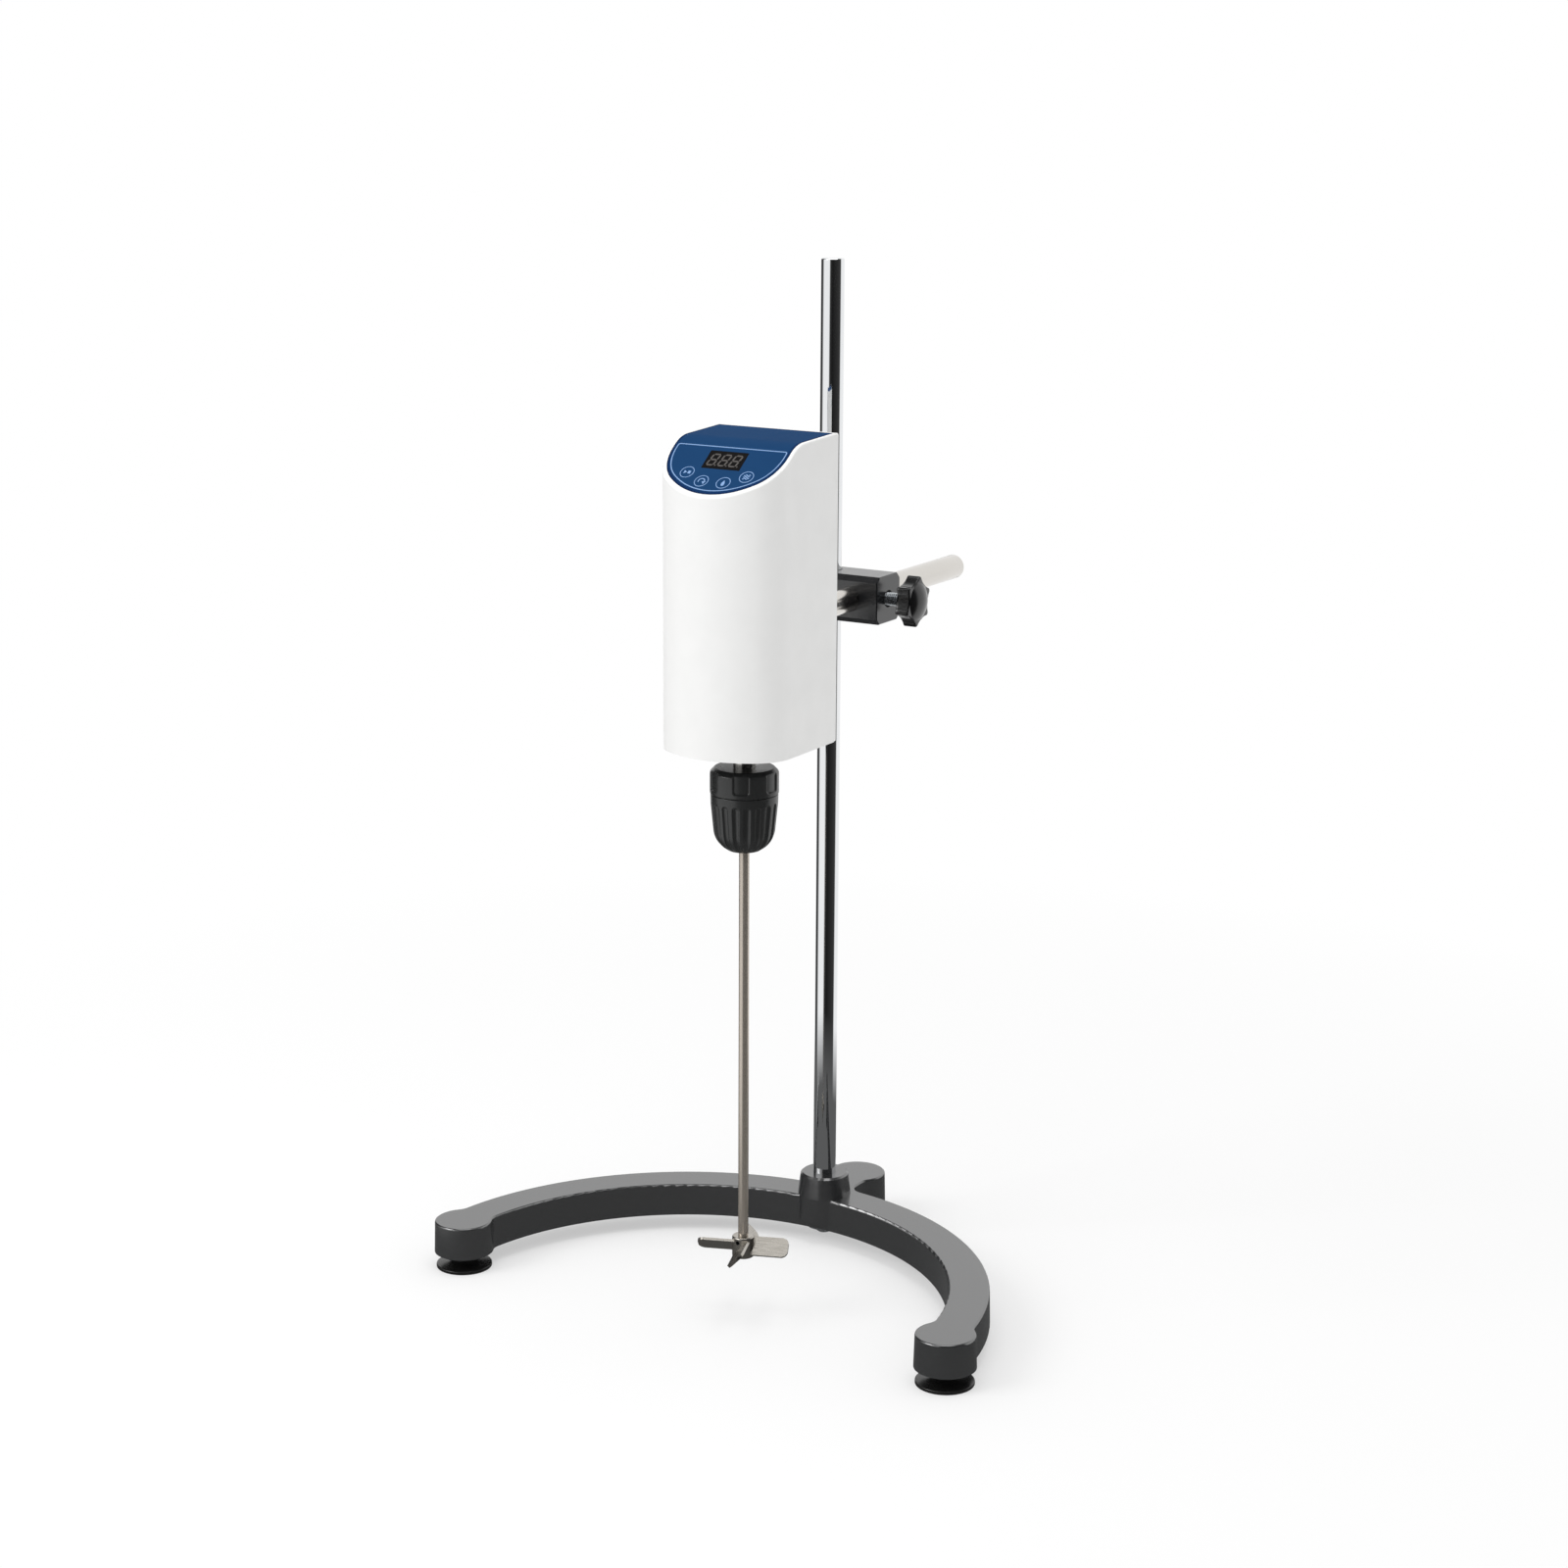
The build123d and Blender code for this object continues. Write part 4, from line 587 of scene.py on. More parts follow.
@dataclass(frozen=True)
class Plane:
    """Flat face with a place for every (across, down) point and a lift off it, in millimetres."""

    origin: Point
    across: Point
    down: Point
    out: Point

    def place(self, flat: np.ndarray, lift: float | np.ndarray) -> np.ndarray:
        """Sets flat points on the face.

        Args:
            flat: Points by 2.
            lift: Height over the face.

        Returns:
            Points by 3.
        """
        rise = np.broadcast_to(np.asarray(lift, float), flat.shape[:-1])[..., None]
        return (np.array(self.origin) + flat[..., :1] * np.array(self.across)
                + flat[..., 1:2] * np.array(self.down) + rise * np.array(self.out))

    def ribbon(self, line: np.ndarray, width: float, closed: bool = False, high: float = PRINT_HIGH) -> Patch:
        """Printed line of even width along a path.

        The path is moved half the width to each side along its normal, at both lifts. An open
        line ends in a single point at each end, so that it is closed.

        Args:
            line: Points by 2.
            width: Width of the line.
            closed: True where the path is a loop.
            high: Lift of its top.

        Returns:
            The closed patch.
        """
        if closed:
            run = np.roll(line, -1, axis=0) - np.roll(line, 1, axis=0)
        else:
            run = np.gradient(line, axis=0)
        side = np.stack([-run[:, 1], run[:, 0]], axis=-1)
        side = side / np.linalg.norm(side, axis=1, keepdims=True) * width / 2
        corners = ((-1, PRINT_LOW), (-1, high), (1, high), (1, PRINT_LOW))
        grid = np.stack([self.place(line + way * side, lift) for way, lift in corners])
        if not closed:
            ends = np.repeat(self.place(line[[0, -1]], (PRINT_LOW + high) / 2)[None], 4, axis=0)
            grid = np.concatenate([ends[:, :1], grid, ends[:, 1:]], axis=1)
        return Patch(grid, wrap_rows=True, wrap_columns=closed)

    def pad(self, outline: np.ndarray, high: float = PRINT_HIGH) -> Patch:
        """Printed area, its top and underside drawn together to their middles.

        Args:
            outline: Points by 2 of a loop that its own middle can see all round.
            high: Lift of the top.

        Returns:
            The closed patch.
        """
        middle = np.repeat(outline.mean(axis=0)[None], len(outline), axis=0)
        rows = ((middle, PRINT_LOW), (outline, PRINT_LOW), (outline, high), (middle, high))
        return Patch(np.stack([self.place(line, lift) for line, lift in rows]), wrap_columns=True)


# Sub-assemblies, all sizes in millimetres

@dataclass
class Stand:
    """Horseshoe casting with its column and three rubber feet."""

    feet: tuple = ((-166.568, -127.0, "left_foot"), (166.568, -127.0, "right_foot"), (0.0, 71.0, "rear_foot"))
    disc_radius: float = 17.0
    neck_radius: float = 6.5
    rim_radius: float = 15.8
    foot_height: float = 10.0
    column_radius: float = 7.0
    column_ends: Flat = (14.0, 611.0)
    bolt_hole: Flat = (4.02, 20.0)  # radius and depth

    def foot_profile(self) -> np.ndarray:
        """Half section of a foot: disc, hollow neck and rim, all with rolled edges.

        Returns:
            Points by 2, radius and height.
        """
        disc, neck, rim, top = self.disc_radius, self.neck_radius, self.rim_radius, self.foot_height
        flare = neck + 2.6
        corners = [(0, 0), (disc, 0), (disc, 2.1), (flare, 3.2), (neck, 5.4), (flare, 7.6), (rim, 8.7), (rim, top),
                   (0, top)]
        return respaced(rounded(corners, [0.5, 0.7, 2.2, 1.6, 2.2, 0.35, 0.15]), 3.0)

    def build(self) -> None:
        """Makes the feet and the column, and dresses the casting and its fasteners."""
        dress(CASTING_COAT, "base_casting")
        dress(ZINC, "foot_studs", "column_washer", "column_bolt")
        for x, y, node in self.feet:
            spool = turned(self.foot_profile(), (x, y, 0))
            make_piece(f"{node}_spool", [spool], FOOT_RUBBER, "base", node)
        low, high = self.column_ends
        radius = self.column_radius
        hole, depth = self.bolt_hole
        corners = [(0, low + depth), (hole, low + depth), (hole, low), (radius, low), (radius, high), (0, high)]
        bar = turned(respaced(rounded(corners, [0, 0, 1.0, 1.0], 3), 60.0), (0, COLUMN_Y, 0), columns=128)
        make_piece("column_bar", [bar], COLUMN_CHROME, "column", "column")


@dataclass
class CrossClamp:
    """Block on the column with two studs and two star knobs, all on one axis."""

    stud_radius: float = 3.97
    pitch: float = 1.25
    thread_depth: float = 0.72
    tip: Point = (3.0, 3.0, 0.3)  # radius, length and chamfer of the plain tip
    tip_radius: float = 16.2  # where the flanks of a lobe would meet
    tip_cut: float = 1.15  # how far a lobe's round tip stays inside that
    lobe_round: float = 2.4
    hollow_radius: float = 12.0  # reach of the knob between two lobes
    thickness: float = 8.5
    lobes: int = 6
    knob_angle: float = -8.0
    edge_roll: float = 1.1
    bore: Flat = (4.02, 6.0)  # radius and depth
    dome: Flat = (11.2, 3.4)  # radius and rise

    def thread(self, start: float, end: float, sign: int) -> Patch:
        """Threaded stud with a plain tip.

        The radius falls from the crest by the thread's depth times a triangle wave of height over
        pitch less angle over a full turn. It fades out over the first and last half pitch.

        Args:
            start: Distance along X where the plain tip begins.
            end: Where the thread ends.
            sign: Side that the stud points to.

        Returns:
            The closed patch.
        """
        radius, length, chamfer = self.tip
        shoulder = start + sign * length
        run = np.linspace(shoulder, end, int(abs(end - shoulder) / 0.1))
        body = np.stack([np.full_like(run, self.stud_radius), run], axis=-1)
        tip = [(0, start), (radius - chamfer, start), (radius, start + sign * chamfer), (radius, shoulder)]
        profile = np.concatenate([tip, body, [(0, end)]])[::-sign]

        def groove(angle: np.ndarray, radii: np.ndarray, height: np.ndarray) -> np.ndarray:
            """Depth of the thread, as a triangle wave that climbs with the angle."""
            wave = np.abs(((height / self.pitch - angle / (2 * pi)) % 1.0) * 2 - 1)
            near_end = np.minimum(np.abs(height - shoulder), np.abs(height - end)) / (self.pitch / 2)
            depth = np.where(near_end < 1, 1 - (1 - wave) * near_end, wave)
            return np.where(radii > 3.5, depth * self.thread_depth, 0.0)

        return turned(profile, (0, COLUMN_Y, CLAMP_Z), Axis.X, 48, groove)

    def star(self, columns: int) -> np.ndarray:
        """Outline of a knob: hollow arcs between lobes with round tips.

        Each flank is the arc through two tips and the hollow between them. Each lobe's tip is the
        circle that touches both its flanks, so the lesser reach of the two is taken along each ray.

        Args:
            columns: Rays round the knob.

        Returns:
            Reach along each ray.
        """
        angle = np.linspace(0, 2 * pi, columns, endpoint=False)
        off_tip = off_nearest(angle, 0, self.lobes)
        off_hollow = off_nearest(angle, 180 / self.lobes, self.lobes)
        tip_x, tip_y = self.tip_radius * cos(pi / self.lobes), self.tip_radius * sin(pi / self.lobes)
        centre = (tip_x ** 2 + tip_y ** 2 - self.hollow_radius ** 2) / (2 * (tip_x - self.hollow_radius))
        bend = centre - self.hollow_radius
        side = np.clip(bend ** 2 - (centre * np.sin(off_hollow)) ** 2, 0, None)
        flank = centre * np.cos(off_hollow) - np.sign(bend) * np.sqrt(side)
        seat = self.tip_radius - self.lobe_round - self.tip_cut
        across = seat * np.sin(off_tip)
        reach = seat * np.cos(off_tip) + np.sqrt(np.clip(self.lobe_round ** 2 - across ** 2, 0, None))
        return np.minimum(flank, np.where(np.abs(across) < self.lobe_round, reach, np.inf))

    def knob(self, back_x: float, sign: int) -> Patch:
        """Star knob: bore, back, fluted rim with rolled edges, face and dome.

        Each profile row is the star's outline drawn in by the row's inset, or a plain circle in the
        bore and on the dome, whose height falls as a circle's does.

        Args:
            back_x: Place of the knob's back.
            sign: Side that the knob points to.

        Returns:
            The closed patch.
        """
        columns = 240
        star = self.star(columns)
        thick, roll = self.thickness, self.edge_roll
        bore, depth = self.bore
        dome, rise = self.dome
        ball = (dome ** 2 + rise ** 2) / (2 * rise)
        reach = np.linspace(dome, 0, 14)
        cap = thick + rise - ball + np.sqrt(ball ** 2 - reach ** 2)
        rows = [(0.0, depth, 0.0), (bore, depth, 0.0), (bore, 0.0, 0.0), (4.6, 0.0, 0.0)]
        rows += [(None, 0.0, 0.6), (None, 0.17, 0.18), (None, 0.6, 0.0)]
        rows += [(None, h, 0.0) for h in np.linspace(1.5, thick - 1.3, 6)]
        rows += [(None, thick - roll + roll * sin(a), roll - roll * cos(a)) for a in np.linspace(0, pi / 2, 6)]
        rows += [(dome + 0.25, thick, 0.0)]
        rows += [(r, h, 0.0) for r, h in zip(reach, cap)]
        lengths = np.array([np.full(columns, r) if r is not None else star - inset for r, _, inset in rows])
        heights = np.array([h for _, h, _ in rows])[:, None] * np.ones(columns)
        angle = np.linspace(0, 2 * pi, columns, endpoint=False) + radians(self.knob_angle)
        x = back_x + sign * heights
        y = COLUMN_Y + lengths * np.sin(angle)
        z = CLAMP_Z - sign * lengths * np.cos(angle)
        return Patch(np.stack([x, y, z], axis=-1), wrap_columns=True)

    def build(self) -> None:
        """Makes both studs and both knobs, and dresses the block."""
        dress(CLAMP_BLACK, "clamp_block")
        for side, sign, start, end in (("arm", 1, 28.3, 57.7), ("rod", -1, -7.3, -36.7)):
            stud = self.thread(start, end, sign)
            make_piece(f"{side}_stud_thread", [stud], ZINC, f"{side}_stud", f"{side}_knob_stud", 50)
        for side, sign, back in (("arm", 1, 52.0), ("rod", -1, -31.0)):
            body = f"{side}_knob"
            make_piece(f"{side}_star_knob", [self.knob(back, sign)], KNOB_PLASTIC, body, body)


@dataclass
class SupportArm:
    """Round arm that carries the head, with its spigot."""

    radius: float = 7.5
    spigot_radius: float = 6.0
    stations: Point = (-83.3, -71.7, 150.0)  # spigot's end, shoulder and free end along Y

    def build(self) -> None:
        """Makes the arm, and dresses its nut."""
        end, shoulder, free = self.stations
        corners = [(0, end), (self.spigot_radius, end), (self.spigot_radius, shoulder), (self.radius, shoulder),
                   (self.radius, free), (0, free)]
        profile = respaced(rounded(corners, [0.6, 0, 0, 0.8], 3), 30.0)
        bar = turned(profile, (HEAD_X, 0, CLAMP_Z), Axis.Y, 128)
        make_piece("support_arm_bar", [bar], ARM_STEEL, "arm", "support_arm")
        dress(ZINC, "arm_nut")


class Housing:
    """White shell with its back, bottom, screws and the collar round the arm."""

    def build(self) -> None:
        """Dresses the shell, its plates, screws and collar."""
        dress(SHELL_WHITE, "front_shell", "rear_cover")
        dress(SWITCH_BLACK, "bottom_plate")
        dress(ZINC, "cover_screws", "frame_screws", "bottom_screws")
        dress(COLLAR_PLASTIC, "arm_collar")


@dataclass
class ControlPanel:
    """Printed film over the head's top and slope, with the display and four touch keys."""

    rear_y: float = -72.0  # film's straight back edge
    front_y: float = -150.0  # head's foremost point
    top_z: float = 523.0
    fold_y: float = -110.85  # where top and slope would meet
    fall: float = radians(2.5)  # of the top towards the fold
    slope: float = radians(37.0)
    fold_radius: float = 24.0
    half_width: float = 39.5
    corner: float = 24.0  # radius of the plan's side corners
    bow: float = 52.0  # radius of the plan's bowed front
    film_inset: float = 2.4  # from the head's outline
    film: float = 0.5
    film_edge_fall: float = 0.12
    window: Point = (12.25, 7.0, 19.5)  # half width, half height and drop down the slope
    keys: tuple = ((-19.0, 30.6), (-7.0, 36.4), (7.0, 36.4), (19.0, 30.6))  # across and down
    key_ring: Flat = (4.1, 0.42)  # radius and line width
    line: tuple[float, float, float, float] = (9.4, 4.7, 1.5, 0.6)  # printed line's top, inset, corner and width
    digit: tuple[float, float, float, float] = (2.15, 4.2, 0.52, 0.17)  # half width, half height, bar, slant
    digit_pitch: float = 7.06
    digit_lift: float = 0.03

    def face(self) -> Plane:
        """The sloped panel as a plane with its origin in the middle of the fold."""
        fall, level = sin(self.slope), cos(self.slope)
        return Plane((HEAD_X, self.fold_y, self.top_z), (1, 0, 0), (0, -level, -fall), (0, -fall, level))

    def height(self, y: np.ndarray, drop: float) -> np.ndarray:
        """Height of the film's face: slightly falling top, circular fold, then a straight slope.

        The fold is the circle that touches both straight lines, and every depth under the face
        shares its centre.

        Args:
            y: Places in plan.
            drop: Distance under the face, at right angles to it.

        Returns:
            Heights in millimetres.
        """
        fall, slope, radius = self.fall, self.slope, self.fold_radius
        turn = radius / cos(fall) - radius / cos(slope)
        centre_y = (turn - self.fold_y * tan(slope) + self.rear_y * tan(fall)) / (tan(fall) - tan(slope))
        centre_z = self.top_z - radius / cos(fall) + (centre_y - self.rear_y) * tan(fall)
        inner = radius - drop
        top = self.top_z - drop / cos(fall) + (y - self.rear_y) * tan(fall)
        panel = self.top_z - drop / cos(slope) + (y - self.fold_y) * tan(slope)
        arc = centre_z + np.sqrt(np.clip(inner ** 2 - (y - centre_y) ** 2, 0, None))
        bent = np.where(y <= centre_y - inner * sin(slope), panel, arc)
        return np.where(y >= centre_y - inner * sin(fall), top, bent)

    def outline(self, inset: float, rear: float) -> np.ndarray:
        """Plan of the head drawn in by an inset: straight sides, corner arcs and a bowed front.

        Args:
            inset: Distance inside the head's outline.
            rear: Y of the straight back edge.

        Returns:
            Points by 2 from the rear right corner round the front to the rear left one, X from the middle.
        """
        corner_x = self.half_width - self.corner
        bow_y = self.front_y + self.bow
        corner_y = bow_y - sqrt((self.bow - self.corner) ** 2 - corner_x ** 2)
        meet = degrees(atan2(corner_y - bow_y, corner_x))
        side = np.array([(self.half_width - inset, rear)])
        right = circle((corner_x, corner_y), self.corner - inset, 0, meet, 40)
        front = circle((0, bow_y), self.bow - inset, meet, -90 - meet, 40)
        half = np.concatenate([side, right, front[1:]])
        return np.concatenate([half, half[-2::-1] * (-1, 1)])

    def film_patch(self) -> tuple[Patch, np.ndarray]:
        """Film as rings from the window out to the plan's outline, top face and underside.

        Along each ray from the window's middle the rings run evenly from the window's edge to the
        outline, at the height of the face. The last ring turns down the film's edges.

        Returns:
            The patch, and each point's distance from the film's outline.
        """
        half_w, half_h, drop = self.window
        half_h *= cos(self.slope)
        middle = np.array([0.0, self.fold_y - drop * cos(self.slope)])
        outer = respaced(self.outline(self.film_inset, self.rear_y), 0.8)
        outer = np.concatenate([outer, respaced(outer[[-1, 0]], 0.8)[1:-1]])
        spoke = outer - middle
        bearing = np.arctan2(spoke[:, 1], spoke[:, 0])
        order = np.argsort(bearing)
        side = self.half_width - self.film_inset
        corners = np.arctan2([half_h, half_h, -half_h, -half_h], [half_w, -half_w, half_w, -half_w])
        rear = np.arctan2([self.rear_y - middle[1]] * 2, [side, -side])
        even = np.linspace(-pi, pi, 180, endpoint=False)
        angle = np.unique(np.concatenate([even, corners, rear]).round(9))
        ray = np.stack([np.cos(angle), np.sin(angle)], axis=-1)
        rim = np.stack([np.interp(angle, bearing[order], spoke[order, i], period=2 * pi) for i in (0, 1)], axis=-1)
        hole = ray * ((half_w, half_h) / np.abs(ray).clip(1e-9)).min(axis=-1, keepdims=True)
        share = np.concatenate([np.linspace(0, 0.97, 38), [0.985, 0.995, 1.0]])[:, None, None]
        rings = middle + hole + (rim - hole) * share
        top = np.concatenate([rings, self.height(rings[..., 1:], 0.0)], axis=-1)
        under = np.concatenate([rings, self.height(rings[..., 1:], self.film)], axis=-1)
        top[-1, :, 2] -= self.film_edge_fall
        grid = np.concatenate([top, under[::-1]])
        every_third = np.concatenate([outer, outer[:1]])[::3]
        gap = np.linalg.norm(grid[:, :, None, :2] - every_third, axis=-1).min(axis=-1)
        grid[..., 0] += HEAD_X
        return Patch(grid, wrap_rows=True, wrap_columns=True), gap

    def border_line(self) -> np.ndarray:
        """Path of the printed line round the keys: straight top edge with round corners, then the film's outline.

        Returns:
            Loop of points by 2, across and down the panel.
        """
        top, inset, corner, _ = self.line
        start = top + 1.7
        plan = self.outline(inset, self.fold_y - start * cos(self.slope))
        down = (self.fold_y - plan[:, 1]) / cos(self.slope)
        half = plan[0, 0]
        left = rounded([(-half, start), (-half, top), (0, top)], [corner])
        right = rounded([(0, top), (half, top), (half, start)], [corner])
        return np.concatenate([left[1:-1], right[1:-1], np.stack([plan[:, 0], down], axis=-1)])

    def segments(self) -> list[Patch]:
        """Three slanted seven-segment figures and their points, as thin six-sided bars.

        Returns:
            One patch for each bar or point.
        """
        wide, tall, bar, lean = self.digit
        ends = [((-1, -1), (1, -1)), ((1, -1), (1, 0)), ((1, 0), (1, 1)), ((-1, 1), (1, 1)), ((-1, 0), (-1, 1)),
                ((-1, -1), (-1, 0)), ((-1, 0), (1, 0))]
        shapes = []
        for start, end in np.array(ends) * (wide, tall):
            along = (end - start) / np.linalg.norm(end - start)
            over = np.array([-along[1], along[0]])
            a, b = start + along * 0.18, end - along * 0.18
            shapes.append(np.array([a, a + (along + over) * bar, b + (over - along) * bar, b,
                                    b - (along + over) * bar, a + (along - over) * bar]))
        shapes.append(circle((3.45, tall), 0.5, count=16))
        made = []
        for digit in (-1, 0, 1):
            middle = (digit * self.digit_pitch - 0.3, self.window[2])
            for shape in shapes:
                slant = np.stack([-shape[:, 1] * lean, np.zeros(len(shape))], axis=-1)
                made.append(self.face().pad(shape + slant + middle, self.digit_lift))
        return made

    def symbols(self) -> list[Patch]:
        """Rings of the four keys with their signs: start and stop, turn, drop and waves.

        Returns:
            The closed patches.
        """
        face = self.face()
        ring, width = self.key_ring
        made = [face.ribbon(circle(key, ring), width, True) for key in self.keys]
        start, turn, drop, waves = (np.array(key) for key in self.keys)
        made.append(face.pad(start + np.array([(-2.0, -1.3), (-0.1, 0.0), (-2.0, 1.3)])))
        made.append(face.pad(start + np.array([(0.5, -1.1), (2.2, -1.1), (2.2, 1.1), (0.5, 1.1)])))
        made.append(face.ribbon(circle(turn, 1.9, 150, 235, 24), 0.6))
        tip = turn + 1.9 * np.array([cos(radians(25)), sin(radians(25))])
        made.append(face.pad(tip + np.array([(-1.3, -0.5), (1.1, -0.7), (0.1, 1.4)])))
        angle = np.linspace(0, 2 * pi, 32, endpoint=False)
        width = 1.35 * np.sin(angle) * np.sin(angle / 2)
        made.append(face.pad(drop + np.stack([width, -2.1 * np.cos(angle) + 0.2], axis=-1)))
        sweep = np.linspace(-2.0, 2.0, 25)
        for shift in (-1.3, 0.0, 1.3):
            wave = np.stack([sweep, shift + 0.45 * np.sin(sweep * 3.1)], axis=-1)
            made.append(face.ribbon(waves + wave, 0.5))
        return made

    def build(self) -> None:
        """Makes the film, the print and the figures, and dresses the display and its board."""
        patch, gap = self.film_patch()
        make_piece("control_film", [patch], PANEL_FILM, "head", "control_overlay", 40, gap)
        line = self.face().ribbon(self.border_line(), self.line[-1], True)
        make_piece("panel_border_line", [line], PRINT_BLUE, "head")
        make_piece("key_symbols", self.symbols(), PRINT_BLUE, "head")
        make_piece("figure_segments", self.segments(), SEGMENT_GREY, "head")
        dress(LENS_BLACK, "display_window")
        dress(MODULE_GREY, "display_module")
        dress(DIGIT_RESIN, "display_digits")
        dress(BOARD_GREEN, "display_board", "controller_board")
        dress(SENSOR_FOAM, "touch_sensors")
        dress(PART_BLACK, "board_parts")
        dress(ZINC, "board_posts")


@dataclass
class BackServices:
    """Rocker switch and low-voltage inlet on the back."""

    pivot: Point = (-4.5, -67.9, 374.0)
    ridge: float = 0.9  # of the rocker over its pivot
    tilt: float = radians(10.0)  # at rest
    fall: Flat = (1.1, 7.85)  # drop of each half of the rocker from its ridge over its length
    lift: float = 0.06  # of the print

    def half(self, side: int) -> Plane:
        """Face of the rocker's upper or lower half, with its origin on the ridge.

        Args:
            side: 1 for the upper half, -1 for the lower one.

        Returns:
            The plane.
        """
        turn = side * atan2(*self.fall) - self.tilt
        ridge = np.array(self.pivot) + self.ridge * np.array([0.0, cos(self.tilt), sin(self.tilt)])
        return Plane(tuple(ridge), (-1, 0, 0), (0.0, sin(turn), cos(turn)), (0.0, cos(turn), -sin(turn)))

    def build(self) -> None:
        """Makes the rocker's printed bar and ring, and dresses the switch and the inlet."""
        dress(SWITCH_BLACK, "switch_frame", "switch_rocker", "power_inlet")
        dress(ZINC, "inlet_nut")
        bar = self.half(1).ribbon(np.array([(0, 2.6), (0, 3.8), (0, 5.4)]), 0.7, high=self.lift)
        ring = self.half(-1).ribbon(circle((0, -4.0), 1.4, count=32), 0.55, True, self.lift)
        make_piece("rocker_marks", [bar, ring], PRINT_WHITE, "rocker")


class DriveTrain:
    """Motor, coupling, bearings and frame inside the head."""

    def build(self) -> None:
        """Dresses the drive's pieces."""
        dress(FRAME_STEEL, "drive_frame")
        dress(TURNED_ALUMINIUM, "bearing_housing", "coupling_lower", "coupling_upper")
        dress(GROUND_STEEL, "spindle_bearings", "motor_bearings", "spindle")
        dress(BLACK_STEEL, "housing_screws", "motor_screws", "retaining_ring")
        dress(SPIDER_RED, "coupling_spider")
        dress(CAN_STEEL, "motor_can", "motor_rotor")
        dress(STATOR_IRON, "motor_stator")


@dataclass
class Chuck:
    """Keyless chuck: rear sleeve with finger recesses and fluted front sleeve."""

    top: float = 334.5
    split: float = 319.5  # lower edge of the rear sleeve
    nose: float = 286.0
    seam: float = 0.3
    radius: float = 19.7
    recesses: int = 6
    recess_start: float = 55.5  # degrees to the first one
    recess_half: float = 5.16
    recess_floor: float = 2.2  # over the split
    recess_corner: float = 2.1
    recess_depth: float = 0.9
    flutes: int = 18
    flute_start: float = 5.5  # degrees to the first one
    flute_half: float = 6.4  # half the angle that one spans, in degrees
    flute_depth: float = 1.15
    flute_ends: Flat = (0.3, 26.6)  # over the nose, where they fade out and where their round ends lie

    def recess(self, angle: np.ndarray, radius: np.ndarray, height: np.ndarray) -> np.ndarray:
        """Depth of the finger recesses.

        Distance along the arc and height are measured from a box with round corners; the depth
        eases in over 1 mm inside its edge, as the draft of the mould does.

        Args:
            angle: Angles round the sleeve.
            radius: Radii of the plain sleeve.
            height: Heights.

        Returns:
            Depth to take off.
        """
        arc = np.abs(off_nearest(angle, self.recess_start, self.recesses)) * self.radius + 0 * height
        corner = self.recess_corner
        floor = self.split + self.recess_floor
        over = np.stack([arc - self.recess_half + corner, floor + corner - height], axis=-1)
        outside = np.linalg.norm(np.clip(over, 0, None), axis=-1) + np.minimum(over.max(axis=-1), 0) - corner
        ease = np.clip(-outside, 0, 1)
        outer = (radius > 16.9) & (height < self.top - 0.3)
        depth = np.clip(radius - (self.radius - self.recess_depth), 0, None)
        return np.where(outer, ease ** 2 * (3 - 2 * ease) * depth, 0.0)

    def flute(self, angle: np.ndarray, radius: np.ndarray, height: np.ndarray) -> np.ndarray:
        """Depth of the flutes.

        Across a flute the depth falls with the square of the share of its half angle. Upwards it ends
        in a half circle of the flute's own width, and downwards it fades out at the nose.

        Args:
            angle: Angles round the sleeve.
            radius: Radii of the plain sleeve.
            height: Heights.

        Returns:
            Depth to take off.
        """
        off = off_nearest(angle, self.flute_start, self.flutes)
        rise = height - self.nose
        low, high = self.flute_ends
        half = radians(self.flute_half)
        over = np.clip(rise - high, 0, None) / (half * self.radius)
        share = np.clip(1 - (off / half) ** 2 - over ** 2, 0, 1)
        fade = np.clip((rise - low) / 4.0, 0, 1)
        outer = radius > np.where(rise > 11, 16.8, 9.6)
        return np.where(outer, self.flute_depth * np.sqrt(share) * share ** 0.25 * fade, 0.0)

    def rear_profile(self) -> np.ndarray:
        """Half section of the rear sleeve, from its bore round the outside and back up the cavity.

        Returns:
            Points by 2, radius and height.
        """
        r, low, top = self.radius, self.split, self.top
        outer = [(6.6, top), (r - 2.6, top), (r, top - 2.6), (r, low), (12.2, low)]
        inner = np.array([(12.2, low), (12.2, top - 1.5), (6.6, top - 1.5), (6.6, top)])
        return np.concatenate([respaced(rounded(outer, [0.5, 1.1, 0.6]), 0.28), inner[1:]])

    def front_profile(self) -> np.ndarray:
        """Half section of the front sleeve: rim, taper, the arc of the nose, then the inside.

        The arc goes through three points: its centre is as far from each of them.

        Returns:
            Points by 2, radius and height.
        """
        r, low, top = self.radius, self.nose, self.split - self.seam
        points = np.array([(r - 2.0, low + 12), (r - 4.4, low + 5.2), (r - 9.0, low + 0.9)])
        spans = points[1:] - points[0]
        middle = points[0] + np.linalg.solve(2 * spans, (spans ** 2).sum(axis=1))
        start, end = (degrees(atan2(*(p - middle)[::-1])) for p in (points[0], points[2]))
        arc = circle(tuple(middle), float(np.linalg.norm(points[0] - middle)), start, end - start, 20)
        rim = rounded([(16.2, top), (r - 0.3, top), (r - 0.4, top - 5), tuple(points[0])], [0.6, 1.5], 6)
        nose = rounded([tuple(points[2]), (9.44, low), (8.54, low)], [0.3], 3)
        inner = np.array([(8.54, low + 2), (12.5, low + 11.2), (12.5, low + 12), (16.2, low + 16), (16.2, top)])
        return np.concatenate([respaced(np.concatenate([rim, arc[1:], nose[1:]]), 0.4), inner])

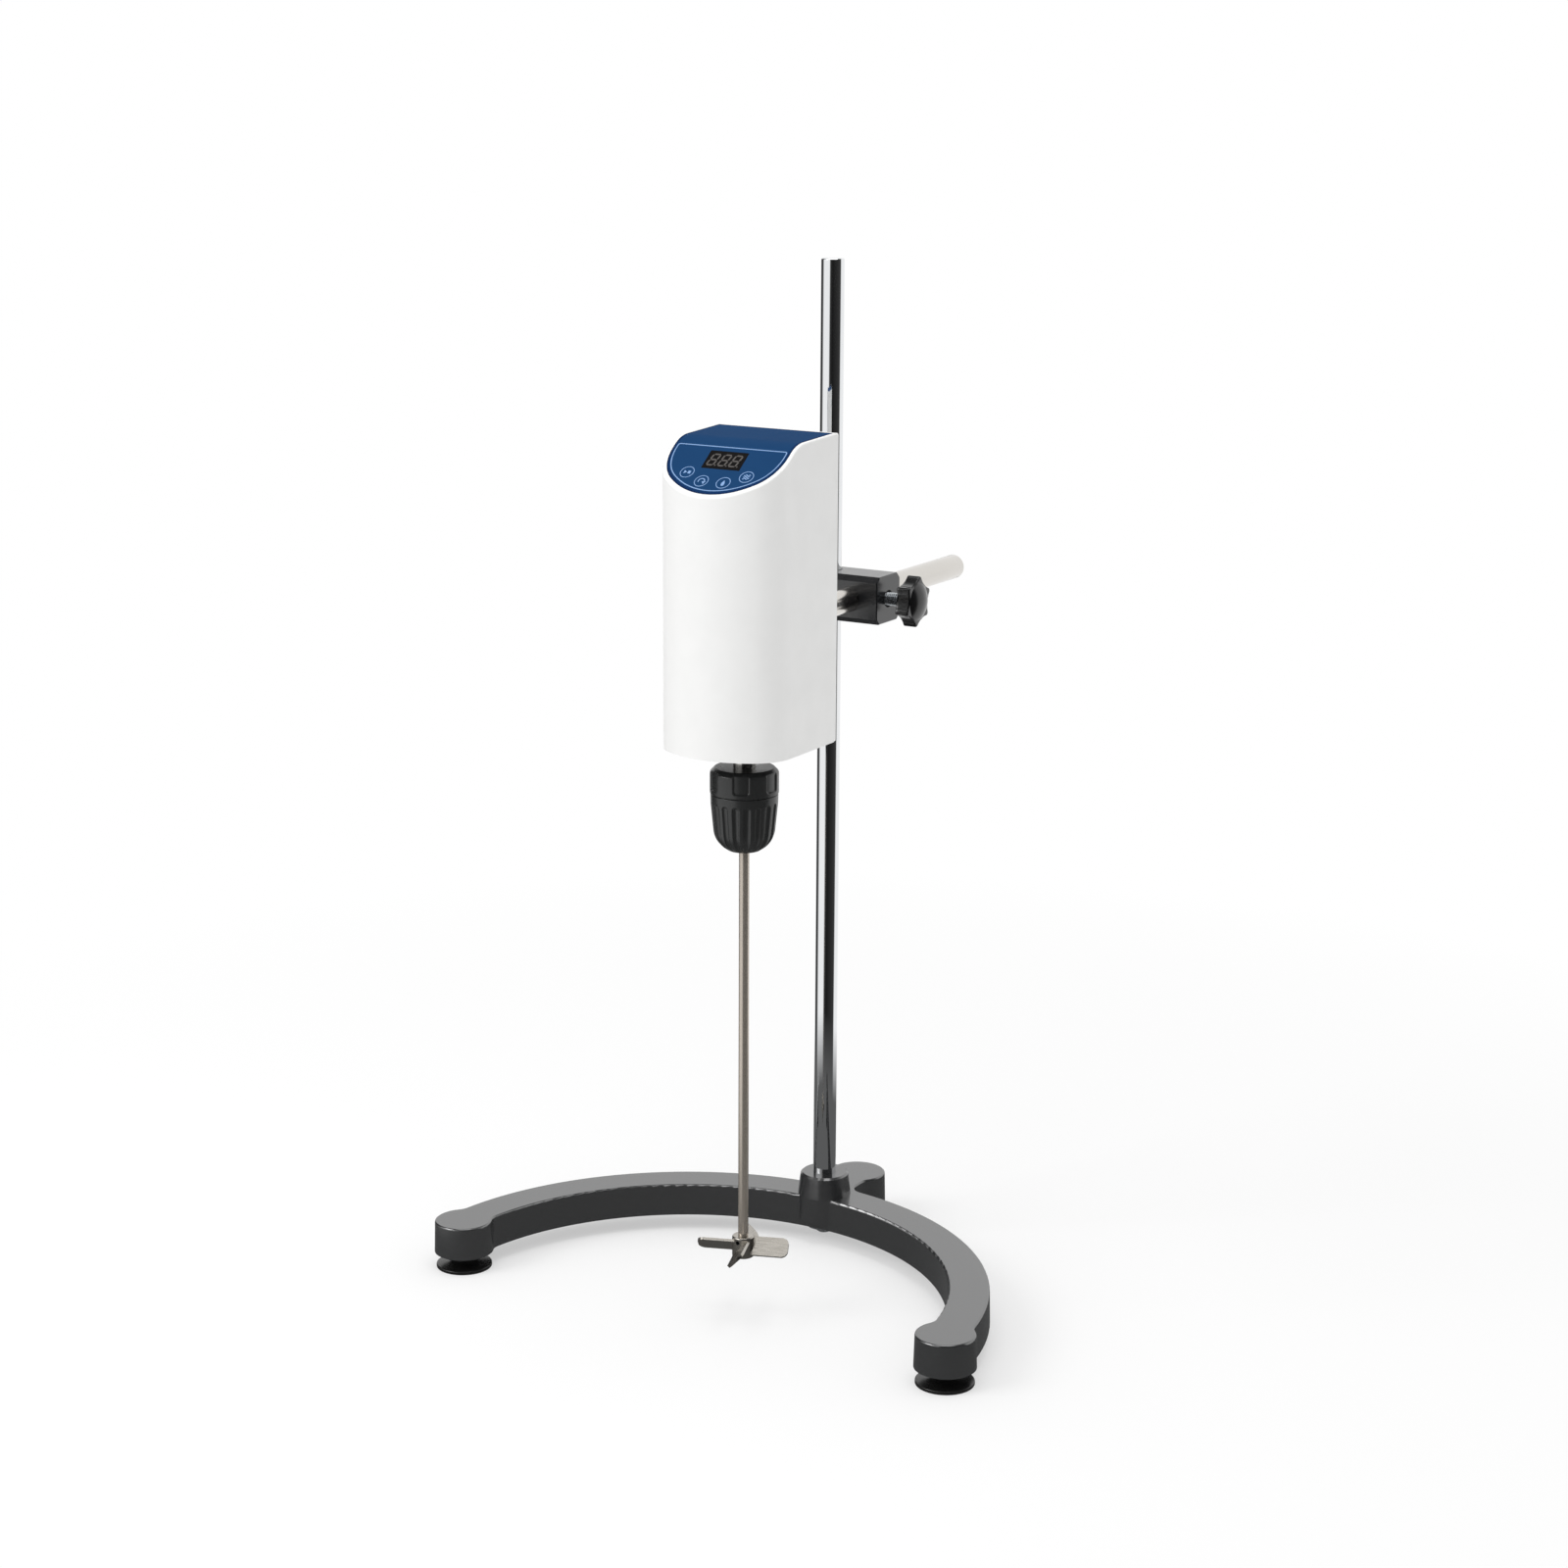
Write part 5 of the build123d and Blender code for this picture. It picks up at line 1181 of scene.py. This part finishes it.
    def build(self) -> None:
        """Makes both sleeves, and dresses the chuck's steel core and jaws."""
        rear = turned(self.rear_profile(), STIR_AXIS, columns=360, relief=self.recess)
        make_piece("chuck_finger_sleeve", [rear], CHUCK_PLASTIC, "spindle", "chuck_rear_sleeve")
        front = turned(self.front_profile(), STIR_AXIS, columns=self.flutes * 24, relief=self.flute)
        make_piece("chuck_fluted_sleeve", [front], CHUCK_PLASTIC, "chuck_sleeve",
                   "chuck_front_sleeve")
        dress(CHUCK_STEEL, "chuck_body", "jaw_nut", "chuck_jaw_1", "chuck_jaw_2", "chuck_jaw_3")


@dataclass
class StirringShaft:
    """Shaft in the chuck with its impeller."""

    radius: float = 3.0
    ends: Flat = (38.0, 338.0)
    edge: float = 0.5

    def build(self) -> None:
        """Makes the shaft, and dresses the impeller and its screw."""
        low, high = self.ends
        line = rounded([(0, low), (self.radius, low), (self.radius, high), (0, high)], [self.edge] * 2, 3)
        rod = turned(respaced(line, 40), STIR_AXIS, columns=72)
        make_piece("stirring_rod", [rod], SHAFT_STEEL, "stir_shaft", "stirring_shaft")
        dress(BLADE_STEEL, "impeller")
        dress(BLACK_STEEL, "impeller_screw")


@dataclass
class Studio:
    """Camera at the photographed viewing angle, pale floor, soft lamps and surroundings."""

    eye: Point = (909.0, -1583.3, 745.1)
    gaze: Point = (-0.4896, 0.8392, -0.2370)
    roll: float = radians(0.33)
    lens: float = 71.74
    # Bearing from the camera's side in degrees, and brightness of the room there, for gloss
    walls: tuple = ((-180, 1.0), (-150, 1.0), (-143, 0.04), (-108, 0.04), (-90, 1.0), (-31, 1.0), (-23, 0.04),
                    (0, 0.012), (50, 0.03), (82, 0.05), (92, 1.0), (180, 1.0))
    ceiling: float = 0.15  # brightness for gloss
    near_floor: float = 0.12  # the same for the floor close by
    near: Flat = (0.28, 0.45)  # metres over which the floor goes from that to the room's brightness
    shaded: Point = (0.3, 0.9, 0.45)  # metres over which it turns white, and its share before
    ceiling_rise: Flat = (0.6, 0.8)  # upward parts of a direction between which the ceiling begins
    even_light: float = 0.72  # brightness of the room for all other light

    def camera(self) -> None:
        """Makes the scene's camera from its position, direction and roll."""
        gaze = Vector(self.gaze).normalized()
        right = gaze.cross(Vector((0, 0, 1))).normalized()
        up = right.cross(gaze)
        rolled = right * cos(self.roll) + up * sin(self.roll)
        raised = up * cos(self.roll) - right * sin(self.roll)
        data = bpy.data.cameras.new("photo_view")
        data.lens, data.sensor_width, data.clip_end = self.lens, 36.0, 60.0
        view = bpy.data.objects.new("photo_view", data)
        turn = Matrix((rolled, raised, -gaze)).transposed().to_4x4()
        view.matrix_world = Matrix.Translation(Vector(self.eye) * MM) @ turn
        bpy.context.scene.collection.objects.link(view)
        bpy.context.scene.camera = view

    def lamp(self, name: str, place: Point, target: Point, size: float, power: float) -> None:
        """Adds a square soft box that faces a point.

        Args:
            name: Name of the lamp.
            place: Position in metres.
            target: Point that it faces, in metres.
            size: Side of the soft box in metres.
            power: Power in watts.
        """
        data = bpy.data.lights.new(name, "AREA")
        data.shape, data.size, data.energy = "SQUARE", size, power
        lamp = bpy.data.objects.new(name, data)
        lamp.location = place
        lamp.rotation_mode = "QUATERNION"
        lamp.rotation_quaternion = (Vector(target) - Vector(place)).to_track_quat("-Z", "Y")
        bpy.context.scene.collection.objects.link(lamp)

    def rays(self, graph: Graph) -> tuple[Socket, Socket]:
        """Tells rays apart.

        Args:
            graph: Nodes that take the new ones.

        Returns:
            1 for rays from the eye, straight or through glass, and 1 for mirrored ones.
        """
        kinds = graph.add("LightPath").outputs
        return graph.math("MAXIMUM", kinds["Is Camera Ray"], kinds["Is Transmission Ray"]), kinds["Is Glossy Ray"]

    def room(self, graph: Graph, way: Socket) -> Socket:
        """How bright the studio is in a level direction: white backdrop, soft boxes and dim walls between.

        The direction is turned so that X points to the camera's place. Its bearing from there, from
        -180 to 180 degrees with left negative, reads the brightness off a list of stops.

        Args:
            graph: Nodes that take the new ones.
            way: Direction from the object.

        Returns:
            Brightness from 0 to 1.
        """
        bearing = atan2(self.eye[1], self.eye[0])
        facing = graph.add("VectorRotate", {"Vector": way, "Angle": -bearing}, rotation_type="Z_AXIS")
        parts = graph.add("SeparateXYZ", {0: facing.outputs[0]}).outputs
        angle = graph.math("ARCTAN2", parts["Y"], parts["X"])
        ramp = graph.add("ValToRGB", {"Fac": graph.ranged(angle, -pi, pi)})
        stops = ramp.color_ramp.elements
        for degree, level in self.walls[1:-1]:
            stops.new((degree + 180) / 360).color = (level, level, level, 1)
        for stop, (_, level) in ((stops[0], self.walls[0]), (stops[-1], self.walls[-1])):
            stop.color = (level, level, level, 1)
        return ramp.outputs["Color"]

    def floor(self) -> None:
        """Lays a wide pale floor that keeps shadows near the object and shows as the room further out."""
        radius = np.array([0.0, 500.0, 1000.0, 2000.0, 4000.0, 9000.0])[:, None]
        angle = np.linspace(0, 2 * pi, 64, endpoint=False)[None, :]
        points = np.stack([radius * np.cos(angle), radius * np.sin(angle), 0 * radius * angle], axis=-1)
        mesh = make_mesh("studio_floor", [Patch(points, wrap_columns=True)])
        material = bpy.data.materials.new("white studio paper")
        graph = Graph(material)
        plain, glossy = self.rays(graph)
        place = graph.place()
        away = graph.add("VectorMath", {0: place}, operation="LENGTH").outputs["Value"]
        seen = graph.math("MULTIPLY", plain, graph.ranged(away, *self.shaded, 1.0))
        gloss = graph.mix(graph.ranged(away, *self.near), self.near_floor, self.room(graph, place), "FLOAT")
        paper = graph.add("BsdfDiffuse", {"Color": linear("#F4F4F4")})
        white = graph.add("Emission", {"Color": (1, 1, 1, 1), "Strength": graph.mix(plain, gloss, 1.0, "FLOAT")})
        share = graph.math("MAXIMUM", seen, glossy)
        mix = graph.add("MixShader", {0: share, 1: paper.outputs[0], 2: white.outputs[0]})
        graph.add("OutputMaterial", {"Surface": mix.outputs[0]})
        mesh.materials.append(material)
        floor = bpy.data.objects.new("studio_floor", mesh)
        bpy.context.scene.collection.objects.link(floor)

    def surroundings(self) -> None:
        """White backdrop to the eye, the room with a dim ceiling to gloss and metal, even light to the rest."""
        bpy.context.scene.world = bpy.data.worlds.new("studio")
        graph = Graph(bpy.context.scene.world)
        plain, glossy = self.rays(graph)
        way = graph.add("TexCoord").outputs["Generated"]
        rise = graph.add("SeparateXYZ", {0: way}).outputs["Z"]
        room = graph.mix(graph.ranged(rise, *self.ceiling_rise), self.room(graph, way), self.ceiling, "FLOAT")
        level = graph.mix(plain, graph.mix(glossy, self.even_light, room, "FLOAT"), 1.0, "FLOAT")
        sky = graph.add("Background", {"Color": (1, 1, 1, 1), "Strength": level})
        graph.add("OutputWorld", {"Surface": sky.outputs[0]})

    def build(self) -> None:
        """Sets the camera, floor, surroundings and lamps."""
        self.camera()
        self.floor()
        self.surroundings()
        self.lamp("key_box", (-1.3, -1.7, 1.7), (0, -0.05, 0.35), 1.2, 20)
        self.lamp("top_box", (0.1, -0.2, 2.1), (0, 0, 0.2), 1.4, 12)
        bpy.context.scene.view_settings.view_transform = "Standard"


def main() -> None:
    """Builds the studio and every sub-assembly in order, and reports each."""
    logging.basicConfig(level=logging.INFO, format="%(name)s %(message)s")
    for part in (Studio(), Stand(), CrossClamp(), SupportArm(), Housing(), ControlPanel(), BackServices(),
                 DriveTrain(), Chuck(), StirringShaft()):
        part.build()
        log.info("built %s", type(part).__name__)


if __name__ == "__main__":
    main()
